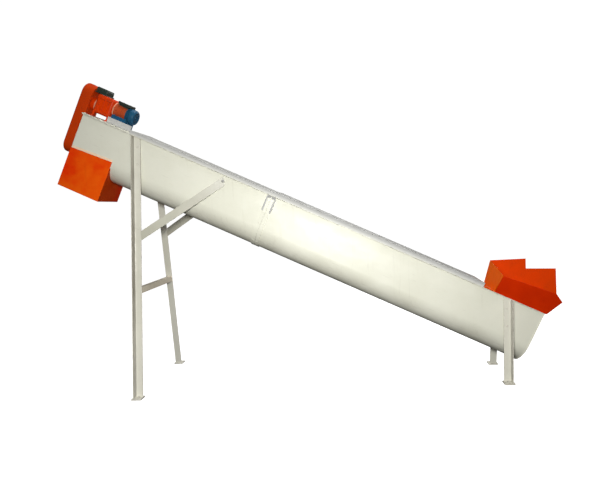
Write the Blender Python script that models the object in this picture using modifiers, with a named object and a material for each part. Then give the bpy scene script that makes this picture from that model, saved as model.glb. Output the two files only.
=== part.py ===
"""Inclined screw conveyor on two steel frames.

Metres, +Z up. X runs along the conveyor towards the low feed end, Y runs away from the near side.
The origin is on the floor, at the middle of the conveyor's bounding box.
Pieces of the conveyor itself are placed in the trough frame, an empty that is tilted by the incline.
Its X (s) runs down the trough, its Y (y) across and its Z (t) up out of the lid; t = 0 is the lid's top.
"""

import bmesh
import bpy
from math import atan2, cos, pi, radians, sin, tan
from mathutils import Matrix

# Driving dimensions
INCLINE = radians(25.8)
TALL_FRAME_X = -1.496          # middle of the tall frame, from the origin
FRAME_SPACING = 3.130          # from the tall frame to the low frame
LID_HEIGHT = 2.278             # height of the lid's top surface above the tall frame
GAP = 0.0003                   # clearance between touching pieces

TROUGH_HALF_WIDTH = 0.179      # outside of the trough's side
TROUGH_SHEET = 0.004
TROUGH_TOP = -0.033            # t of the trough's top flange
TROUGH_CENTRE = -0.332         # t where the straight sides meet the round bottom
TROUGH_FLANGE = 0.026          # reach of the top flange past the side
HEAD_S = -0.475                # outer face of the head end plate
JOINT_S = 1.334                # seam between the two trough sections
TAIL_S = 3.856                 # outer face of the tail end plate
END_PLATE = 0.006
BAND_WIDTH = 0.035
BAND_SHEET = 0.006
ARC_STEPS = 24

LID_SHEET = 0.003
LID_START = -0.020             # head end of the upper lid
LID_STEP = 0.006               # the lower lid stands this much higher
LID_END = 3.290                # tail end of the lower lid
HOPPER_START = 3.395           # uphill wall of the hopper, at the trough's flange
NEAR_LEAN = 0.55               # how far the hopper's near wall leans out for each metre of height
FAR_LEAN = 0.27
HOPPER_FOOT_Y = 0.190          # inner foot of the hopper's long walls

SHAFT_T = -0.325               # screw axis
SHAFT_RADIUS = 0.038
JOURNAL_RADIUS = 0.0275
FLIGHT_RADIUS = 0.158
FLIGHT_SHEET = 0.005
FLIGHT_START = -0.380
FLIGHT_PITCH = 0.300
FLIGHT_TURNS = {"head": 5, "middle": 4, "tail": 5}   # turns in each section of the flight
FLIGHT_STEPS = 24              # steps in one turn
FLIGHT_SEAM = 0.002            # part of a turn left open between two sections
FLIGHT_CLEARANCE = 0.0008      # between the faceted shaft and the flight's inner edge

CHUTE_TAIL_S = -0.085          # downhill face of the discharge chute
CHUTE_BOTTOM = -0.700
CHUTE_TOP = -0.345             # t of the side walls' top at the head end
CHUTE_TOP_TAIL = -0.326        # and at the tail end
CHUTE_SHEET = 0.0035           # sheet of the chute and the hopper

LEG_SIZE = 0.063
LEG_SHEET = 0.006
BRACE_SIZE = 0.068
CROSS_BAR_SIZE = 0.050
FOOT_SIZE = 0.086
FOOT_SHEET = 0.012
TALL_FOOT_Y = 0.458            # inner face of the tall leg at the foot
LOW_FOOT_Y = 0.238             # inner face of the low leg at the foot
TALL_LEAN = 0.024              # how far the tall legs' tops stand towards the feed end
LOW_LEAN = 0.020
LEG_TOP_Y = TROUGH_HALF_WIDTH + GAP
CROSS_BAR_Z = 0.905
BRACE_FOOT_Z = 1.345           # middle of the brace where it meets the tall leg

GUARD_HALF_WIDTH = 0.092
GUARD_TOP = 0.236
GUARD_INNER_S = -0.515
GUARD_OUTER_S = -0.615
DRIVE_T = 0.104                # axis of the motor
OUTPUT_T = 0.078               # axis of the gear unit's output neck
OUTPUT_RING_S = -0.482         # head face of the pale ring on the output neck
HOUSING_S = -0.472             # head face of the gear unit's housing
MOTOR_RING_S = -0.308          # head face of the pale ring between gear unit and motor
ADAPTOR_S = -0.298
MOTOR_S = -0.190
COWL_S = -0.145
DRIVE_END_S = -0.105
MOTOR_RADIUS = 0.066

COS = cos(INCLINE)
SIN = sin(INCLINE)
FLANGE_TIP = TROUGH_HALF_WIDTH + TROUGH_FLANGE
SECTION_TURN = (pi / 2, 0.0, pi / 2)   # an outline drawn in x, y stands across the trough
SIDE_TURN = (pi / 2, 0.0, 0.0)         # an outline drawn in x, y stands along the trough


def clear_scene():
    for item in list(bpy.data.objects):
        bpy.data.objects.remove(item, do_unlink=True)


def new_collection(name):
    collection = bpy.data.collections.new(name)
    bpy.context.scene.collection.children.link(collection)
    return collection


def paint(name, colour, roughness, metallic=0.0):
    material = bpy.data.materials.new(name)
    material.use_nodes = True
    shader = material.node_tree.nodes["Principled BSDF"]
    shader.inputs["Base Color"].default_value = (*colour, 1.0)
    shader.inputs["Roughness"].default_value = roughness
    shader.inputs["Metallic"].default_value = metallic
    return material


clear_scene()
PARTS = new_collection("screw_conveyor")
BLOCKS = new_collection("blocks")

CREAM = paint("cream_paint", (0.66, 0.65, 0.55), 0.45)
ORANGE = paint("orange_paint", (0.75, 0.10, 0.01), 0.40)
BLUE = paint("blue_paint", (0.02, 0.10, 0.22), 0.40)
DARK = paint("dark_green_paint", (0.03, 0.05, 0.04), 0.50)
PALE = paint("pale_flange_paint", (0.75, 0.45, 0.30), 0.45)
STEEL = paint("bare_steel", (0.35, 0.34, 0.33), 0.40, 0.9)
CAST = paint("bearing_iron", (0.10, 0.11, 0.12), 0.50, 0.4)


def new_empty(name, location, tilt=0.0, parent=None):
    empty = bpy.data.objects.new(name, None)
    empty.location = location
    empty.rotation_euler = (0.0, tilt, 0.0)
    empty.parent = parent
    PARTS.objects.link(empty)
    return empty


ROOT = new_empty("conveyor", (TALL_FRAME_X, 0.0, 0.0))
TROUGH = new_empty("trough_frame", (0.0, 0.0, LID_HEIGHT), INCLINE, ROOT)


def add_object(name, data, material, parent, location=(0.0, 0.0, 0.0), rotation=(0.0, 0.0, 0.0)):
    item = bpy.data.objects.new(name, data)
    item.location = location
    item.rotation_euler = rotation
    item.parent = parent
    data.materials.append(material)
    PARTS.objects.link(item)
    return item


def mesh_from(name, build):
    """Run build on a new bmesh and keep the result as a mesh."""
    body = bmesh.new()
    build(body)
    mesh = bpy.data.meshes.new(name)
    body.to_mesh(mesh)
    body.free()
    return mesh


def box(name, low, high, material, parent=TROUGH, bevel=0.0, segments=1):
    """A block between two corners, with its edges rounded by bevel."""
    size = [b - a for a, b in zip(low, high)]
    middle = [(a + b) / 2 for a, b in zip(low, high)]

    def build(body):
        bmesh.ops.create_cube(body, size=1.0, matrix=Matrix.Diagonal((*size, 1.0)))

    item = add_object(name, mesh_from(name, build), material, parent, middle)
    if bevel:
        modifier = item.modifiers.new("edge", "BEVEL")
        modifier.width = bevel
        modifier.segments = segments
    return item


def plate(name, outline, thickness, material, location, rotation, parent=TROUGH, holes=()):
    """A flat plate cut to an outline, its middle plane at location; each hole is (x, y, radius)."""
    curve = bpy.data.curves.new(name, "CURVE")
    curve.dimensions = "2D"
    curve.fill_mode = "BOTH"
    curve.extrude = thickness / 2
    loops = [outline] + [circle_points(*hole) for hole in holes]
    for loop in loops:
        spline = curve.splines.new("POLY")
        spline.points.add(len(loop) - 1)
        for point, (x, y) in zip(spline.points, loop):
            point.co = (x, y, 0.0, 1.0)
        spline.use_cyclic_u = True
    return add_object(name, curve, material, parent, location, rotation)


def circle_points(x, y, radius, steps=24):
    turns = [2 * pi * k / steps for k in range(steps)]
    return [(x + radius * cos(a), y + radius * sin(a)) for a in turns]


def arc_points(x, y, radius, first, last, steps):
    """Points from angle first to angle last, both included."""
    turns = [first + (last - first) * k / steps for k in range(steps + 1)]
    return [(x + radius * cos(a), y + radius * sin(a)) for a in turns]


def swept(name, path, start, end, thickness, material):
    """A folded sheet: a path of (y, t) points drawn along s, its sheet to the right of the path."""

    def build(body):
        points = [body.verts.new((start, y, t)) for y, t in path]
        edges = [body.edges.new(pair) for pair in zip(points, points[1:])]
        result = bmesh.ops.extrude_edge_only(body, edges=edges)
        moved = [item for item in result["geom"] if isinstance(item, bmesh.types.BMVert)]
        bmesh.ops.translate(body, verts=moved, vec=(end - start, 0.0, 0.0))

    item = add_object(name, mesh_from(name, build), material, TROUGH)
    sheet = item.modifiers.new("sheet", "SOLIDIFY")
    sheet.thickness = thickness
    sheet.offset = -1.0
    sheet.use_even_offset = True
    return item


def turned(name, profile, material, location, parent=TROUGH, steps=32):
    """A turned piece on the s axis: profile points are (radius, s), from the tail end to the head end."""

    def build(body):
        points = [body.verts.new((s, 0.0, radius)) for radius, s in profile]
        for pair in zip(points, points[1:]):
            body.edges.new(pair)

    item = add_object(name, mesh_from(name, build), material, parent, location)
    spin = item.modifiers.new("turn", "SCREW")
    spin.axis = "X"
    spin.angle = 2 * pi
    spin.steps = steps
    spin.render_steps = steps
    spin.use_merge_vertices = True
    spin.merge_threshold = 0.00001
    spin.use_smooth_shade = True
    return item


def change(item, operation, low, high):
    """Take a block, given in the trough frame, out of item (DIFFERENCE) or add it (UNION)."""
    size = [b - a for a, b in zip(low, high)]

    def build(body):
        bmesh.ops.create_cube(body, size=1.0, matrix=Matrix.Diagonal((*size, 1.0)))

    block = bpy.data.objects.new(item.name + "_block", mesh_from(item.name + "_block", build))
    block.location = [(a + b) / 2 for a, b in zip(low, high)]
    block.parent = TROUGH
    block.hide_render = True
    block.display_type = "WIRE"
    BLOCKS.objects.link(block)
    modifier = item.modifiers.new("block", "BOOLEAN")
    modifier.operation = operation
    modifier.object = block


def smooth(item):
    item.data.shade_smooth()
    item.data.set_sharp_from_angle(angle=radians(30))


def trough_path(offset, top):
    """The outside of the U, grown by offset, from the near top edge round to the far one."""
    radius = TROUGH_HALF_WIDTH + offset
    arc = arc_points(0.0, TROUGH_CENTRE, radius, pi, 2 * pi, ARC_STEPS)
    return [(-radius, top), *arc, (radius, top)]


def make_trough():
    """Two U shaped sections with out-turned top flanges, and the bands bolted round their seam."""
    path = [(-FLANGE_TIP, TROUGH_TOP), *trough_path(-TROUGH_SHEET, TROUGH_TOP), (FLANGE_TIP, TROUGH_TOP)]
    runs = {
        "trough_upper": (HEAD_S + END_PLATE + GAP, JOINT_S - GAP),
        "trough_lower": (JOINT_S + GAP, TAIL_S - END_PLATE - GAP),
    }
    for name, (start, end) in runs.items():
        section = swept(name, path, start, end, TROUGH_SHEET, CREAM)
        smooth(section)
        if name == "trough_upper":
            change(section, "DIFFERENCE", (-0.455, -0.150, -0.560), (-0.125, 0.150, -0.380))

    band_path = trough_path(GAP, TROUGH_TOP - TROUGH_SHEET - 2 * GAP)
    bands = {
        "joint_band_upper": (JOINT_S - BAND_WIDTH, JOINT_S - GAP),
        "joint_band_lower": (JOINT_S + GAP, JOINT_S + BAND_WIDTH),
    }
    for name, (start, end) in bands.items():
        band = swept(name, band_path, start, end, BAND_SHEET, CREAM)
        smooth(band)


def make_end_plates():
    hole = (0.0, SHAFT_T, JOURNAL_RADIUS + 0.002)
    plate("head_end_plate", trough_path(0.0, TROUGH_TOP), END_PLATE, CREAM,
          (HEAD_S + END_PLATE / 2, 0.0, 0.0), SECTION_TURN, holes=[hole])
    plate("tail_end_plate", trough_path(0.006, TROUGH_TOP), END_PLATE, CREAM,
          (TAIL_S - END_PLATE / 2, 0.0, 0.0), SECTION_TURN, holes=[hole])


def make_lids():
    """Tray shaped lids: a flat top with folded edges that stand on the trough's flanges."""
    half = FLANGE_TIP
    runs = {
        "lid_upper": (LID_START, JOINT_S - GAP, 0.0),
        "lid_lower": (JOINT_S + GAP, LID_END, LID_STEP),
    }
    for name, (start, end, top) in runs.items():
        foot = TROUGH_TOP + GAP
        path = [(-half, foot), (-half, top), (half, top), (half, foot)]
        swept(name, path, start, end, LID_SHEET, CREAM)


def make_screw():
    """The shaft with its journals, and the sections of the helical flight round it."""
    journal_tail = TAIL_S + 0.060
    shoulder_tail = TAIL_S - END_PLATE - 0.012
    shoulder_head = HEAD_S + END_PLATE + 0.012
    journal_head = GUARD_INNER_S + GAP
    profile = [
        (0.0, journal_tail), (JOURNAL_RADIUS, journal_tail), (JOURNAL_RADIUS, shoulder_tail),
        (SHAFT_RADIUS, shoulder_tail), (SHAFT_RADIUS, shoulder_head), (JOURNAL_RADIUS, shoulder_head),
        (JOURNAL_RADIUS, journal_head), (0.0, journal_head),
    ]
    turned("screw_shaft", profile, STEEL, (0.0, 0.0, SHAFT_T), steps=24)

    def build(body):
        inner = body.verts.new((0.0, 0.0, SHAFT_RADIUS + FLIGHT_CLEARANCE))
        outer = body.verts.new((0.0, 0.0, FLIGHT_RADIUS))
        body.edges.new((inner, outer))

    start = FLIGHT_START
    for word, turns in FLIGHT_TURNS.items():
        name = "screw_flight_" + word
        flight = add_object(name, mesh_from(name, build), STEEL, TROUGH, (start, 0.0, SHAFT_T))
        spin = flight.modifiers.new("helix", "SCREW")
        spin.axis = "X"
        spin.angle = 2 * pi * (turns - FLIGHT_SEAM)
        spin.screw_offset = FLIGHT_PITCH * (turns - FLIGHT_SEAM)
        spin.steps = FLIGHT_STEPS * turns
        spin.render_steps = FLIGHT_STEPS * turns
        sheet = flight.modifiers.new("sheet", "SOLIDIFY")
        sheet.thickness = FLIGHT_SHEET
        sheet.offset = 0.0
        start += FLIGHT_PITCH * turns


def make_bearings():
    """A flanged bearing on the outer face of each end plate."""
    bore = JOURNAL_RADIUS + GAP
    for name, face, side in (("head_bearing", HEAD_S, -1), ("tail_bearing", TAIL_S, 1)):
        steps = [(bore, 0.034), (0.046, 0.034), (0.052, 0.014), (0.075, 0.014), (0.075, GAP), (bore, GAP)]
        profile = [(radius, face + side * depth) for radius, depth in steps]
        if side < 0:
            profile.reverse()
        profile.append(profile[0])
        turned(name, profile, CAST, (0.0, 0.0, SHAFT_T), steps=24)


def make_drive():
    """Base plate, tray, gear unit, adaptor, motor and the guard over the drive chain."""
    base_low = TROUGH_TOP + GAP
    base_top = base_low + 0.008
    box("drive_base_plate", (HEAD_S, -FLANGE_TIP, base_low), (LID_START - 0.004, FLANGE_TIP, base_top), CREAM)

    tray_low = base_top + GAP
    tray_path = [(0.120, tray_low), (-0.120, tray_low), (-0.120, 0.029)]
    swept("motor_tray", tray_path, -0.290, -0.060, 0.004, CREAM)

    half_width = 0.078
    housing_low, housing_top = 0.012, 0.184
    housing = box("gear_unit_housing", (HOUSING_S, -half_width, housing_low),
                  (MOTOR_RING_S - GAP, half_width, housing_top), ORANGE, bevel=0.022, segments=3)
    foot_low, foot_top = base_top + GAP, housing_low + 0.030
    head_foot, motor_foot = HOUSING_S + 0.002, MOTOR_RING_S - 0.022
    for start, side in ((head_foot, -1), (motor_foot, -1), (motor_foot, 1)):
        inner, outer = sorted((side * (half_width - 0.026), side * (half_width - 0.004)))
        change(housing, "UNION", (start, inner, foot_low), (start + 0.018, outer, foot_top))
    cover_start = GUARD_INNER_S + 0.003
    box("gear_unit_cover", (cover_start, -0.068, housing_top + GAP), (-0.395, 0.068, 0.238), DARK,
        bevel=0.006, segments=2)

    axis = (0.0, 0.0, DRIVE_T)
    ring, neck = 0.064, 0.060
    output = [(0.0, HOUSING_S - GAP), (ring, HOUSING_S - GAP), (ring, OUTPUT_RING_S), (neck, OUTPUT_RING_S),
              (neck, GUARD_INNER_S + GAP), (0.0, GUARD_INNER_S + GAP)]
    turned("gear_output_flange", output, PALE, (0.0, 0.0, OUTPUT_T))
    ring = 0.068
    flange = [(0.0, ADAPTOR_S - GAP), (ring, ADAPTOR_S - GAP), (ring, MOTOR_RING_S), (0.0, MOTOR_RING_S)]
    turned("motor_flange", flange, PALE, axis)
    bell = [(0.0, MOTOR_S - GAP), (0.055, MOTOR_S - GAP), (0.058, -0.230), (0.062, ADAPTOR_S),
            (0.0, ADAPTOR_S)]
    turned("motor_adaptor", bell, ORANGE, axis)
    frame = [(0.0, COWL_S - GAP), (0.062, COWL_S - GAP), (MOTOR_RADIUS, COWL_S - 0.006),
             (MOTOR_RADIUS, MOTOR_S + 0.010), (0.060, MOTOR_S), (0.0, MOTOR_S)]
    turned("motor_frame", frame, BLUE, axis)
    cowl = [(0.0, DRIVE_END_S), (0.052, DRIVE_END_S), (MOTOR_RADIUS, DRIVE_END_S - 0.012), (0.069, COWL_S),
            (0.0, COWL_S)]
    turned("fan_cowl", cowl, BLUE, axis)

    saddle = MOTOR_RADIUS + GAP
    drop = 0.044
    start = atan2(-drop, (saddle ** 2 - drop ** 2) ** 0.5)
    rest_low, rest_top, reach = tray_low + 0.004 + GAP, DRIVE_T - drop, 0.085
    hollow = arc_points(0.0, DRIVE_T, saddle, start, -pi - start, 12)
    outline = [(-reach, rest_top), (-reach, rest_low), (reach, rest_low), (reach, rest_top), *hollow]
    rest_start, rest_end = -0.285, -0.150
    plate("motor_foot", outline, rest_end - rest_start, BLUE,
          ((rest_start + rest_end) / 2, 0.0, 0.0), SECTION_TURN)
    box_low = DRIVE_T + MOTOR_RADIUS + GAP
    terminals = box("terminal_box", (-0.289, -0.045, box_low), (-0.165, 0.045, box_low + 0.022), BLUE,
                    bevel=0.004)
    change(terminals, "UNION", (-0.284, -0.030, DRIVE_T + 0.0621), (MOTOR_S - 0.004, 0.030, box_low + 0.010))

    reach = GUARD_HALF_WIDTH
    top = arc_points(0.0, GUARD_TOP - reach, reach, 0.0, pi, 16)
    bottom = arc_points(0.0, SHAFT_T, reach, pi, 2 * pi, 16)
    depth = GUARD_INNER_S - GUARD_OUTER_S
    plate("chain_guard", top + bottom, depth, ORANGE,
          ((GUARD_INNER_S + GUARD_OUTER_S) / 2, 0.0, 0.0), SECTION_TURN)


def make_chute():
    """Four walls of the discharge chute, square to the trough, under its head end."""
    side = TROUGH_HALF_WIDTH + GAP
    head_face = HEAD_S - GAP - CHUTE_SHEET
    side_outline = [(head_face, CHUTE_BOTTOM), (CHUTE_TAIL_S, CHUTE_BOTTOM),
                    (CHUTE_TAIL_S, CHUTE_TOP_TAIL), (head_face, CHUTE_TOP)]
    offset = side + CHUTE_SHEET / 2
    for name, place in (("chute_near_wall", -offset), ("chute_far_wall", offset)):
        plate(name, side_outline, CHUTE_SHEET, ORANGE, (0.0, place, 0.0), SIDE_TURN)

    inner = side - GAP
    head_outline = [(-inner, CHUTE_BOTTOM), (inner, CHUTE_BOTTOM), (inner, -0.408), (-inner, -0.408)]
    plate("chute_head_wall", head_outline, CHUTE_SHEET, ORANGE,
          (head_face + CHUTE_SHEET / 2, 0.0, 0.0), SECTION_TURN)

    radius = TROUGH_HALF_WIDTH + 2 * GAP
    drop = 0.050
    shoulder = TROUGH_CENTRE - drop
    start = atan2(-drop, (radius ** 2 - drop ** 2) ** 0.5)
    saddle = arc_points(0.0, TROUGH_CENTRE, radius, start, -pi - start, 20)
    tail_outline = [(-inner, shoulder), (-inner, CHUTE_BOTTOM), (inner, CHUTE_BOTTOM),
                    (inner, shoulder), *saddle]
    plate("chute_tail_wall", tail_outline, CHUTE_SHEET, ORANGE,
          (CHUTE_TAIL_S - CHUTE_SHEET / 2, 0.0, 0.0), SECTION_TURN)


def hopper_point(s, t, side, lean):
    """A point on a long wall of the hopper, which leans out by lean for each metre of height."""
    return s, side * (HOPPER_FOOT_Y + lean * (t - TROUGH_TOP)), t


def sheet_wall(name, corners, material):
    """A flat wall from its inner corners, its sheet laid on the side that the corners turn away from."""

    def build(body):
        body.faces.new([body.verts.new(corner) for corner in corners])

    item = add_object(name, mesh_from(name, build), material, TROUGH)
    sheet = item.modifiers.new("sheet", "SOLIDIFY")
    sheet.thickness = CHUTE_SHEET
    sheet.offset = -1.0
    return item


def make_hopper():
    """Flared walls of the feed hopper; the far one is a tall back board with a level, stepped top edge.

    The uphill wall has a foot plate that closes the trough between the lid and the hopper.
    """
    foot = TROUGH_TOP + GAP + CHUTE_SHEET * sin(atan2(NEAR_LEAN, 1.0))

    def uphill(t):
        return HOPPER_START - 0.10 * (t - foot)

    def downhill(t):
        return 3.866 + 0.27 * (t - foot)

    near = [(uphill(foot), foot), (downhill(foot), foot), (downhill(0.116), 0.116),
            (3.822, 0.161), (uphill(0.123), 0.123)]
    far = [(uphill(foot), foot), (downhill(foot), foot), (downhill(0.030), 0.030), (4.056, 0.138),
           (3.962, 0.369), (3.704, 0.259), (3.670, 0.343), (uphill(0.199), 0.199)]
    near_corners = [hopper_point(s, t, -1, NEAR_LEAN) for s, t in near]
    far_corners = [hopper_point(s, t, 1, FAR_LEAN) for s, t in far]
    sheet_wall("hopper_near_wall", near_corners[::-1], ORANGE)
    sheet_wall("hopper_far_wall", far_corners, ORANGE)

    ends = (("hopper_uphill_wall", uphill, 0.123, 0.199), ("hopper_downhill_wall", downhill, 0.116, 0.150))
    for name, edge, near_t, far_t in ends:
        near_edge = [hopper_point(edge(t), t, -1, NEAR_LEAN) for t in (foot, near_t)]
        far_edge = [hopper_point(edge(t), t, 1, FAR_LEAN) for t in (foot, far_t)]
        corners = [near_edge[0], far_edge[0], far_edge[1], near_edge[1]]
        corners = [(s, y - 2 * GAP * (1 if y > 0 else -1), t) for s, y, t in corners]
        wall = sheet_wall(name, corners if edge is uphill else corners[::-1], ORANGE)
        if edge is uphill:
            low = TROUGH_TOP + GAP
            change(wall, "UNION", (LID_END + GAP, -FLANGE_TIP, low),
                   (HOPPER_START - 0.0010, FLANGE_TIP, low + CHUTE_SHEET))


def under_flange(x):
    """Height of a leg's top just under the trough's flange, at x from the tall frame."""
    depth = TROUGH_TOP - TROUGH_SHEET - 2 * GAP
    return LID_HEIGHT - x * tan(INCLINE) + depth / COS


def lofted(name, ring, ends, material):
    """A straight member: ring is its section, and ends(k, u, v) places section point (u, v) at end k."""

    def build(body):
        first = [body.verts.new(ends(0, u, v)) for u, v in ring]
        last = [body.verts.new(ends(1, u, v)) for u, v in ring]
        body.faces.new(first[::-1])
        body.faces.new(last)
        for k in range(len(ring)):
            after = (k + 1) % len(ring)
            body.faces.new((first[k], first[after], last[after], last[k]))
        bmesh.ops.recalc_face_normals(body, faces=body.faces)

    return add_object(name, mesh_from(name, build), material, ROOT)


def angle_section(size, sheet):
    """An L section with its heel at the origin and its legs along +u and +v."""
    return [(0.0, 0.0), (size, 0.0), (size, sheet), (sheet, sheet), (sheet, size), (0.0, size)]


def flat_section(size, sheet):
    """The section of a flat bar, its width along +u and its thickness along +v."""
    return [(0.0, 0.0), (size, 0.0), (size, sheet), (0.0, sheet)]


def leg_face(foot_y, middle_x):
    """Distance from the middle plane to the inner face of a leg whose top is at middle_x, by height."""
    top_z = under_flange(middle_x - LEG_SIZE / 2)

    def at(z):
        return foot_y + (LEG_TOP_Y - foot_y) * (z - FOOT_SHEET) / (top_z - FOOT_SHEET)

    return at


def leg_edge():
    """Place of a tall leg's edge towards the feed end: x at the foot plate, and its slope by height."""
    top_z = under_flange(LEG_SIZE / 2 + TALL_LEAN)
    return LEG_SIZE / 2, TALL_LEAN / (top_z - FOOT_SHEET - GAP)


def make_leg(name, middle_x, turn, side, foot_y, lean):
    """An angle iron leg: one flange lies on the trough's side, the other stands out at the outer end."""
    heel = middle_x - turn * LEG_SIZE / 2
    face = leg_face(foot_y, middle_x + lean)

    def ends(k, u, v):
        x = heel + turn * u + lean * k
        z = under_flange(x) if k else FOOT_SHEET + GAP
        return x, side * (face(z) + v), z

    lofted(name, angle_section(LEG_SIZE, LEG_SHEET), ends, CREAM)


def make_foot(name, middle_x, side, foot_y):
    middle_y = side * (foot_y + LEG_SIZE / 2)
    half = FOOT_SIZE / 2
    box(name, (middle_x - half, middle_y - half, 0.0), (middle_x + half, middle_y + half, FOOT_SHEET), CREAM,
        parent=ROOT)


def make_brace(name, side):
    """A flat bar from the edge of the tall leg up to the trough's side."""
    face = leg_face(TALL_FOOT_Y, TALL_LEAN)
    edge_x, slope = leg_edge()
    high_x = 0.775
    rise = 0.604
    depth = BRACE_SIZE / cos(atan2(rise, 1.0))
    low_y = face(BRACE_FOOT_Z + edge_x * rise)
    high_y = LEG_TOP_Y

    def ends(k, u, v):
        across = u * depth / BRACE_SIZE - depth / 2
        low_x = (edge_x + GAP + slope * (BRACE_FOOT_Z + across)) / (1.0 - slope * rise)
        x = high_x if k else low_x
        return x, side * ((high_y if k else low_y) + v), BRACE_FOOT_Z + x * rise + across

    lofted(name, flat_section(BRACE_SIZE, LEG_SHEET), ends, CREAM)


def make_cross_bar():
    """The angle iron between the tall legs."""
    face = leg_face(TALL_FOOT_Y, TALL_LEAN)
    slope = leg_edge()[1]
    heel = 0.028 + slope * CROSS_BAR_Z

    def ends(k, u, v):
        z = CROSS_BAR_Z + CROSS_BAR_SIZE / 2 - v
        y = face(z) - GAP
        return heel - u, (y if k else -y), z

    lofted("tall_cross_bar", angle_section(CROSS_BAR_SIZE, LEG_SHEET), ends, CREAM)


def make_frames():
    for side, word in ((-1, "near"), (1, "far")):
        make_leg("tall_leg_" + word, 0.0, 1, side, TALL_FOOT_Y, TALL_LEAN)
        make_foot("tall_foot_" + word, 0.0, side, TALL_FOOT_Y)
        make_leg("low_leg_" + word, FRAME_SPACING, -1, side, LOW_FOOT_Y, LOW_LEAN)
        make_foot("low_foot_" + word, FRAME_SPACING, side, LOW_FOOT_Y)
        make_brace("brace_" + word, side)
    make_cross_bar()


make_trough()
make_end_plates()
make_lids()
make_screw()
make_bearings()
make_drive()
make_chute()
make_hopper()
make_frames()
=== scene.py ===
"""Looks of an inclined screw conveyor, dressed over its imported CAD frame.

Metres, +Z up. Pieces of the conveyor itself are placed in the trough frame: x is the distance s down the
trough, y runs across it and z is the height t square to it, with t = 0 on the lid. The legs stand in the
leg frame, which is upright and has its origin on the floor under the tall frame.
"""

import logging
from dataclasses import dataclass, replace
from enum import Enum
from math import atan2, ceil, cos, pi, radians, sin, tan
from typing import Callable, Sequence

import bmesh
import bpy
from mathutils import Matrix, Vector


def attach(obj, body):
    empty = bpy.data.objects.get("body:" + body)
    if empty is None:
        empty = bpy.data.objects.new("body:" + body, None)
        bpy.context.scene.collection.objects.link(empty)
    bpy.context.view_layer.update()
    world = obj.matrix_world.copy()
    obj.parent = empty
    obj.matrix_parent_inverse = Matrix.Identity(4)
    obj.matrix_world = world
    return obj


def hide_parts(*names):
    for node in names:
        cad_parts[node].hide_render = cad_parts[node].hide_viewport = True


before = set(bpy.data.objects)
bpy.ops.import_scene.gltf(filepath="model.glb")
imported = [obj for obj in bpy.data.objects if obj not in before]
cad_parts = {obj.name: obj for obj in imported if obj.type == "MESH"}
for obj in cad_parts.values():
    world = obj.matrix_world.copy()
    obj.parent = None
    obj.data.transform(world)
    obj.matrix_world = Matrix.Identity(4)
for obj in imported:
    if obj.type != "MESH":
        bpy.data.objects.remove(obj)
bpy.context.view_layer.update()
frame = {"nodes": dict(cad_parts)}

LOG = logging.getLogger("conveyor")

Point = Sequence[float]
Grid = list[list[Point]]
Pair = tuple[Point, Point]
Corners = list[tuple[float, float]]
Section = list[tuple[float, float, float]]  # points (u, v, wear)
Body = bmesh.types.BMesh
Socket = bpy.types.NodeSocket

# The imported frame's own sizes, which place every piece here
INCLINE = radians(25.8)
TALL_FRAME_X = -1.496
FRAME_SPACING = 3.130
LID_HEIGHT = 2.278
GAP = 0.0003
HALF_WIDTH = 0.179
SHEET = 0.004
TROUGH_TOP = -0.033
TROUGH_CENTRE = -0.332
FLANGE_TIP = 0.205
HEAD_S = -0.475
JOINT_S = 1.334
TAIL_S = 3.856
END_PLATE = 0.006
SHAFT_T = -0.325
DRIVE_T = 0.104

UP = (0.0, 0.0, 1.0)
WHITE = (1.0, 1.0, 1.0, 1.0)
FLOOR_LIGHT_HEIGHT = 1.1  # up to where the painted light bounced from the floor reaches
# colour of the painted light bounced up from the floor
FLOOR_LIGHT_PAINT = (0.92, 0.90, 0.80)
# colour down the lids' folded edges: painted highlight
FOLD_HIGHLIGHT_PAINT = (0.66, 0.655, 0.60)
EDGE = 0.0006  # rounding of an edge where nothing else is said
RING = 0.005  # from an edge to the line where its wear ends
BEND_STEPS = 4
WELD_SIDES = 6
WELD_STEP = 1.7  # from one ripple of a weld to the next, in radii
WELD_RIPPLE = 0.16
STATION_STEP = 0.30  # longest step between sections of a long sheet
STATION_GAP = 0.012  # of sections this close to a needed one, only those by the ends stay

LEVEL = Matrix.Identity(4)
TROUGH_FRAME = Matrix.Translation((TALL_FRAME_X, 0.0, LID_HEIGHT)) @ Matrix.Rotation(INCLINE, 4, "Y")
LEG_FRAME = Matrix.Translation((TALL_FRAME_X, 0.0, 0.0))
SHAFT_AXIS = Matrix.Translation((0.0, 0.0, SHAFT_T))
DRIVE_AXIS = Matrix.Translation((0.0, 0.0, DRIVE_T))
BEND = radians(28)  # edges that turn more than this are folds
CREASE = radians(40)  # edges that turn more than this are shaded sharp


class Slot(Enum):
    """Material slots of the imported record."""

    CREAM = "cream_paint"
    ORANGE = "orange_paint"
    BLUE = "blue_paint"
    GREEN = "dark_green_paint"
    FLANGE = "pale_flange_paint"
    STEEL = "bare_steel"
    IRON = "bearing_iron"


class Side(Enum):
    """The two long sides of the conveyor, with the sign of y there."""

    NEAR = -1
    FAR = 1

    def span(self, inner: float, outer: float) -> tuple[float, float]:
        """Return the lower and the higher y of two distances from the middle plane."""
        low, high = sorted((self.value * inner, self.value * outer))
        return low, high


# Shader nodes


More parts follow.
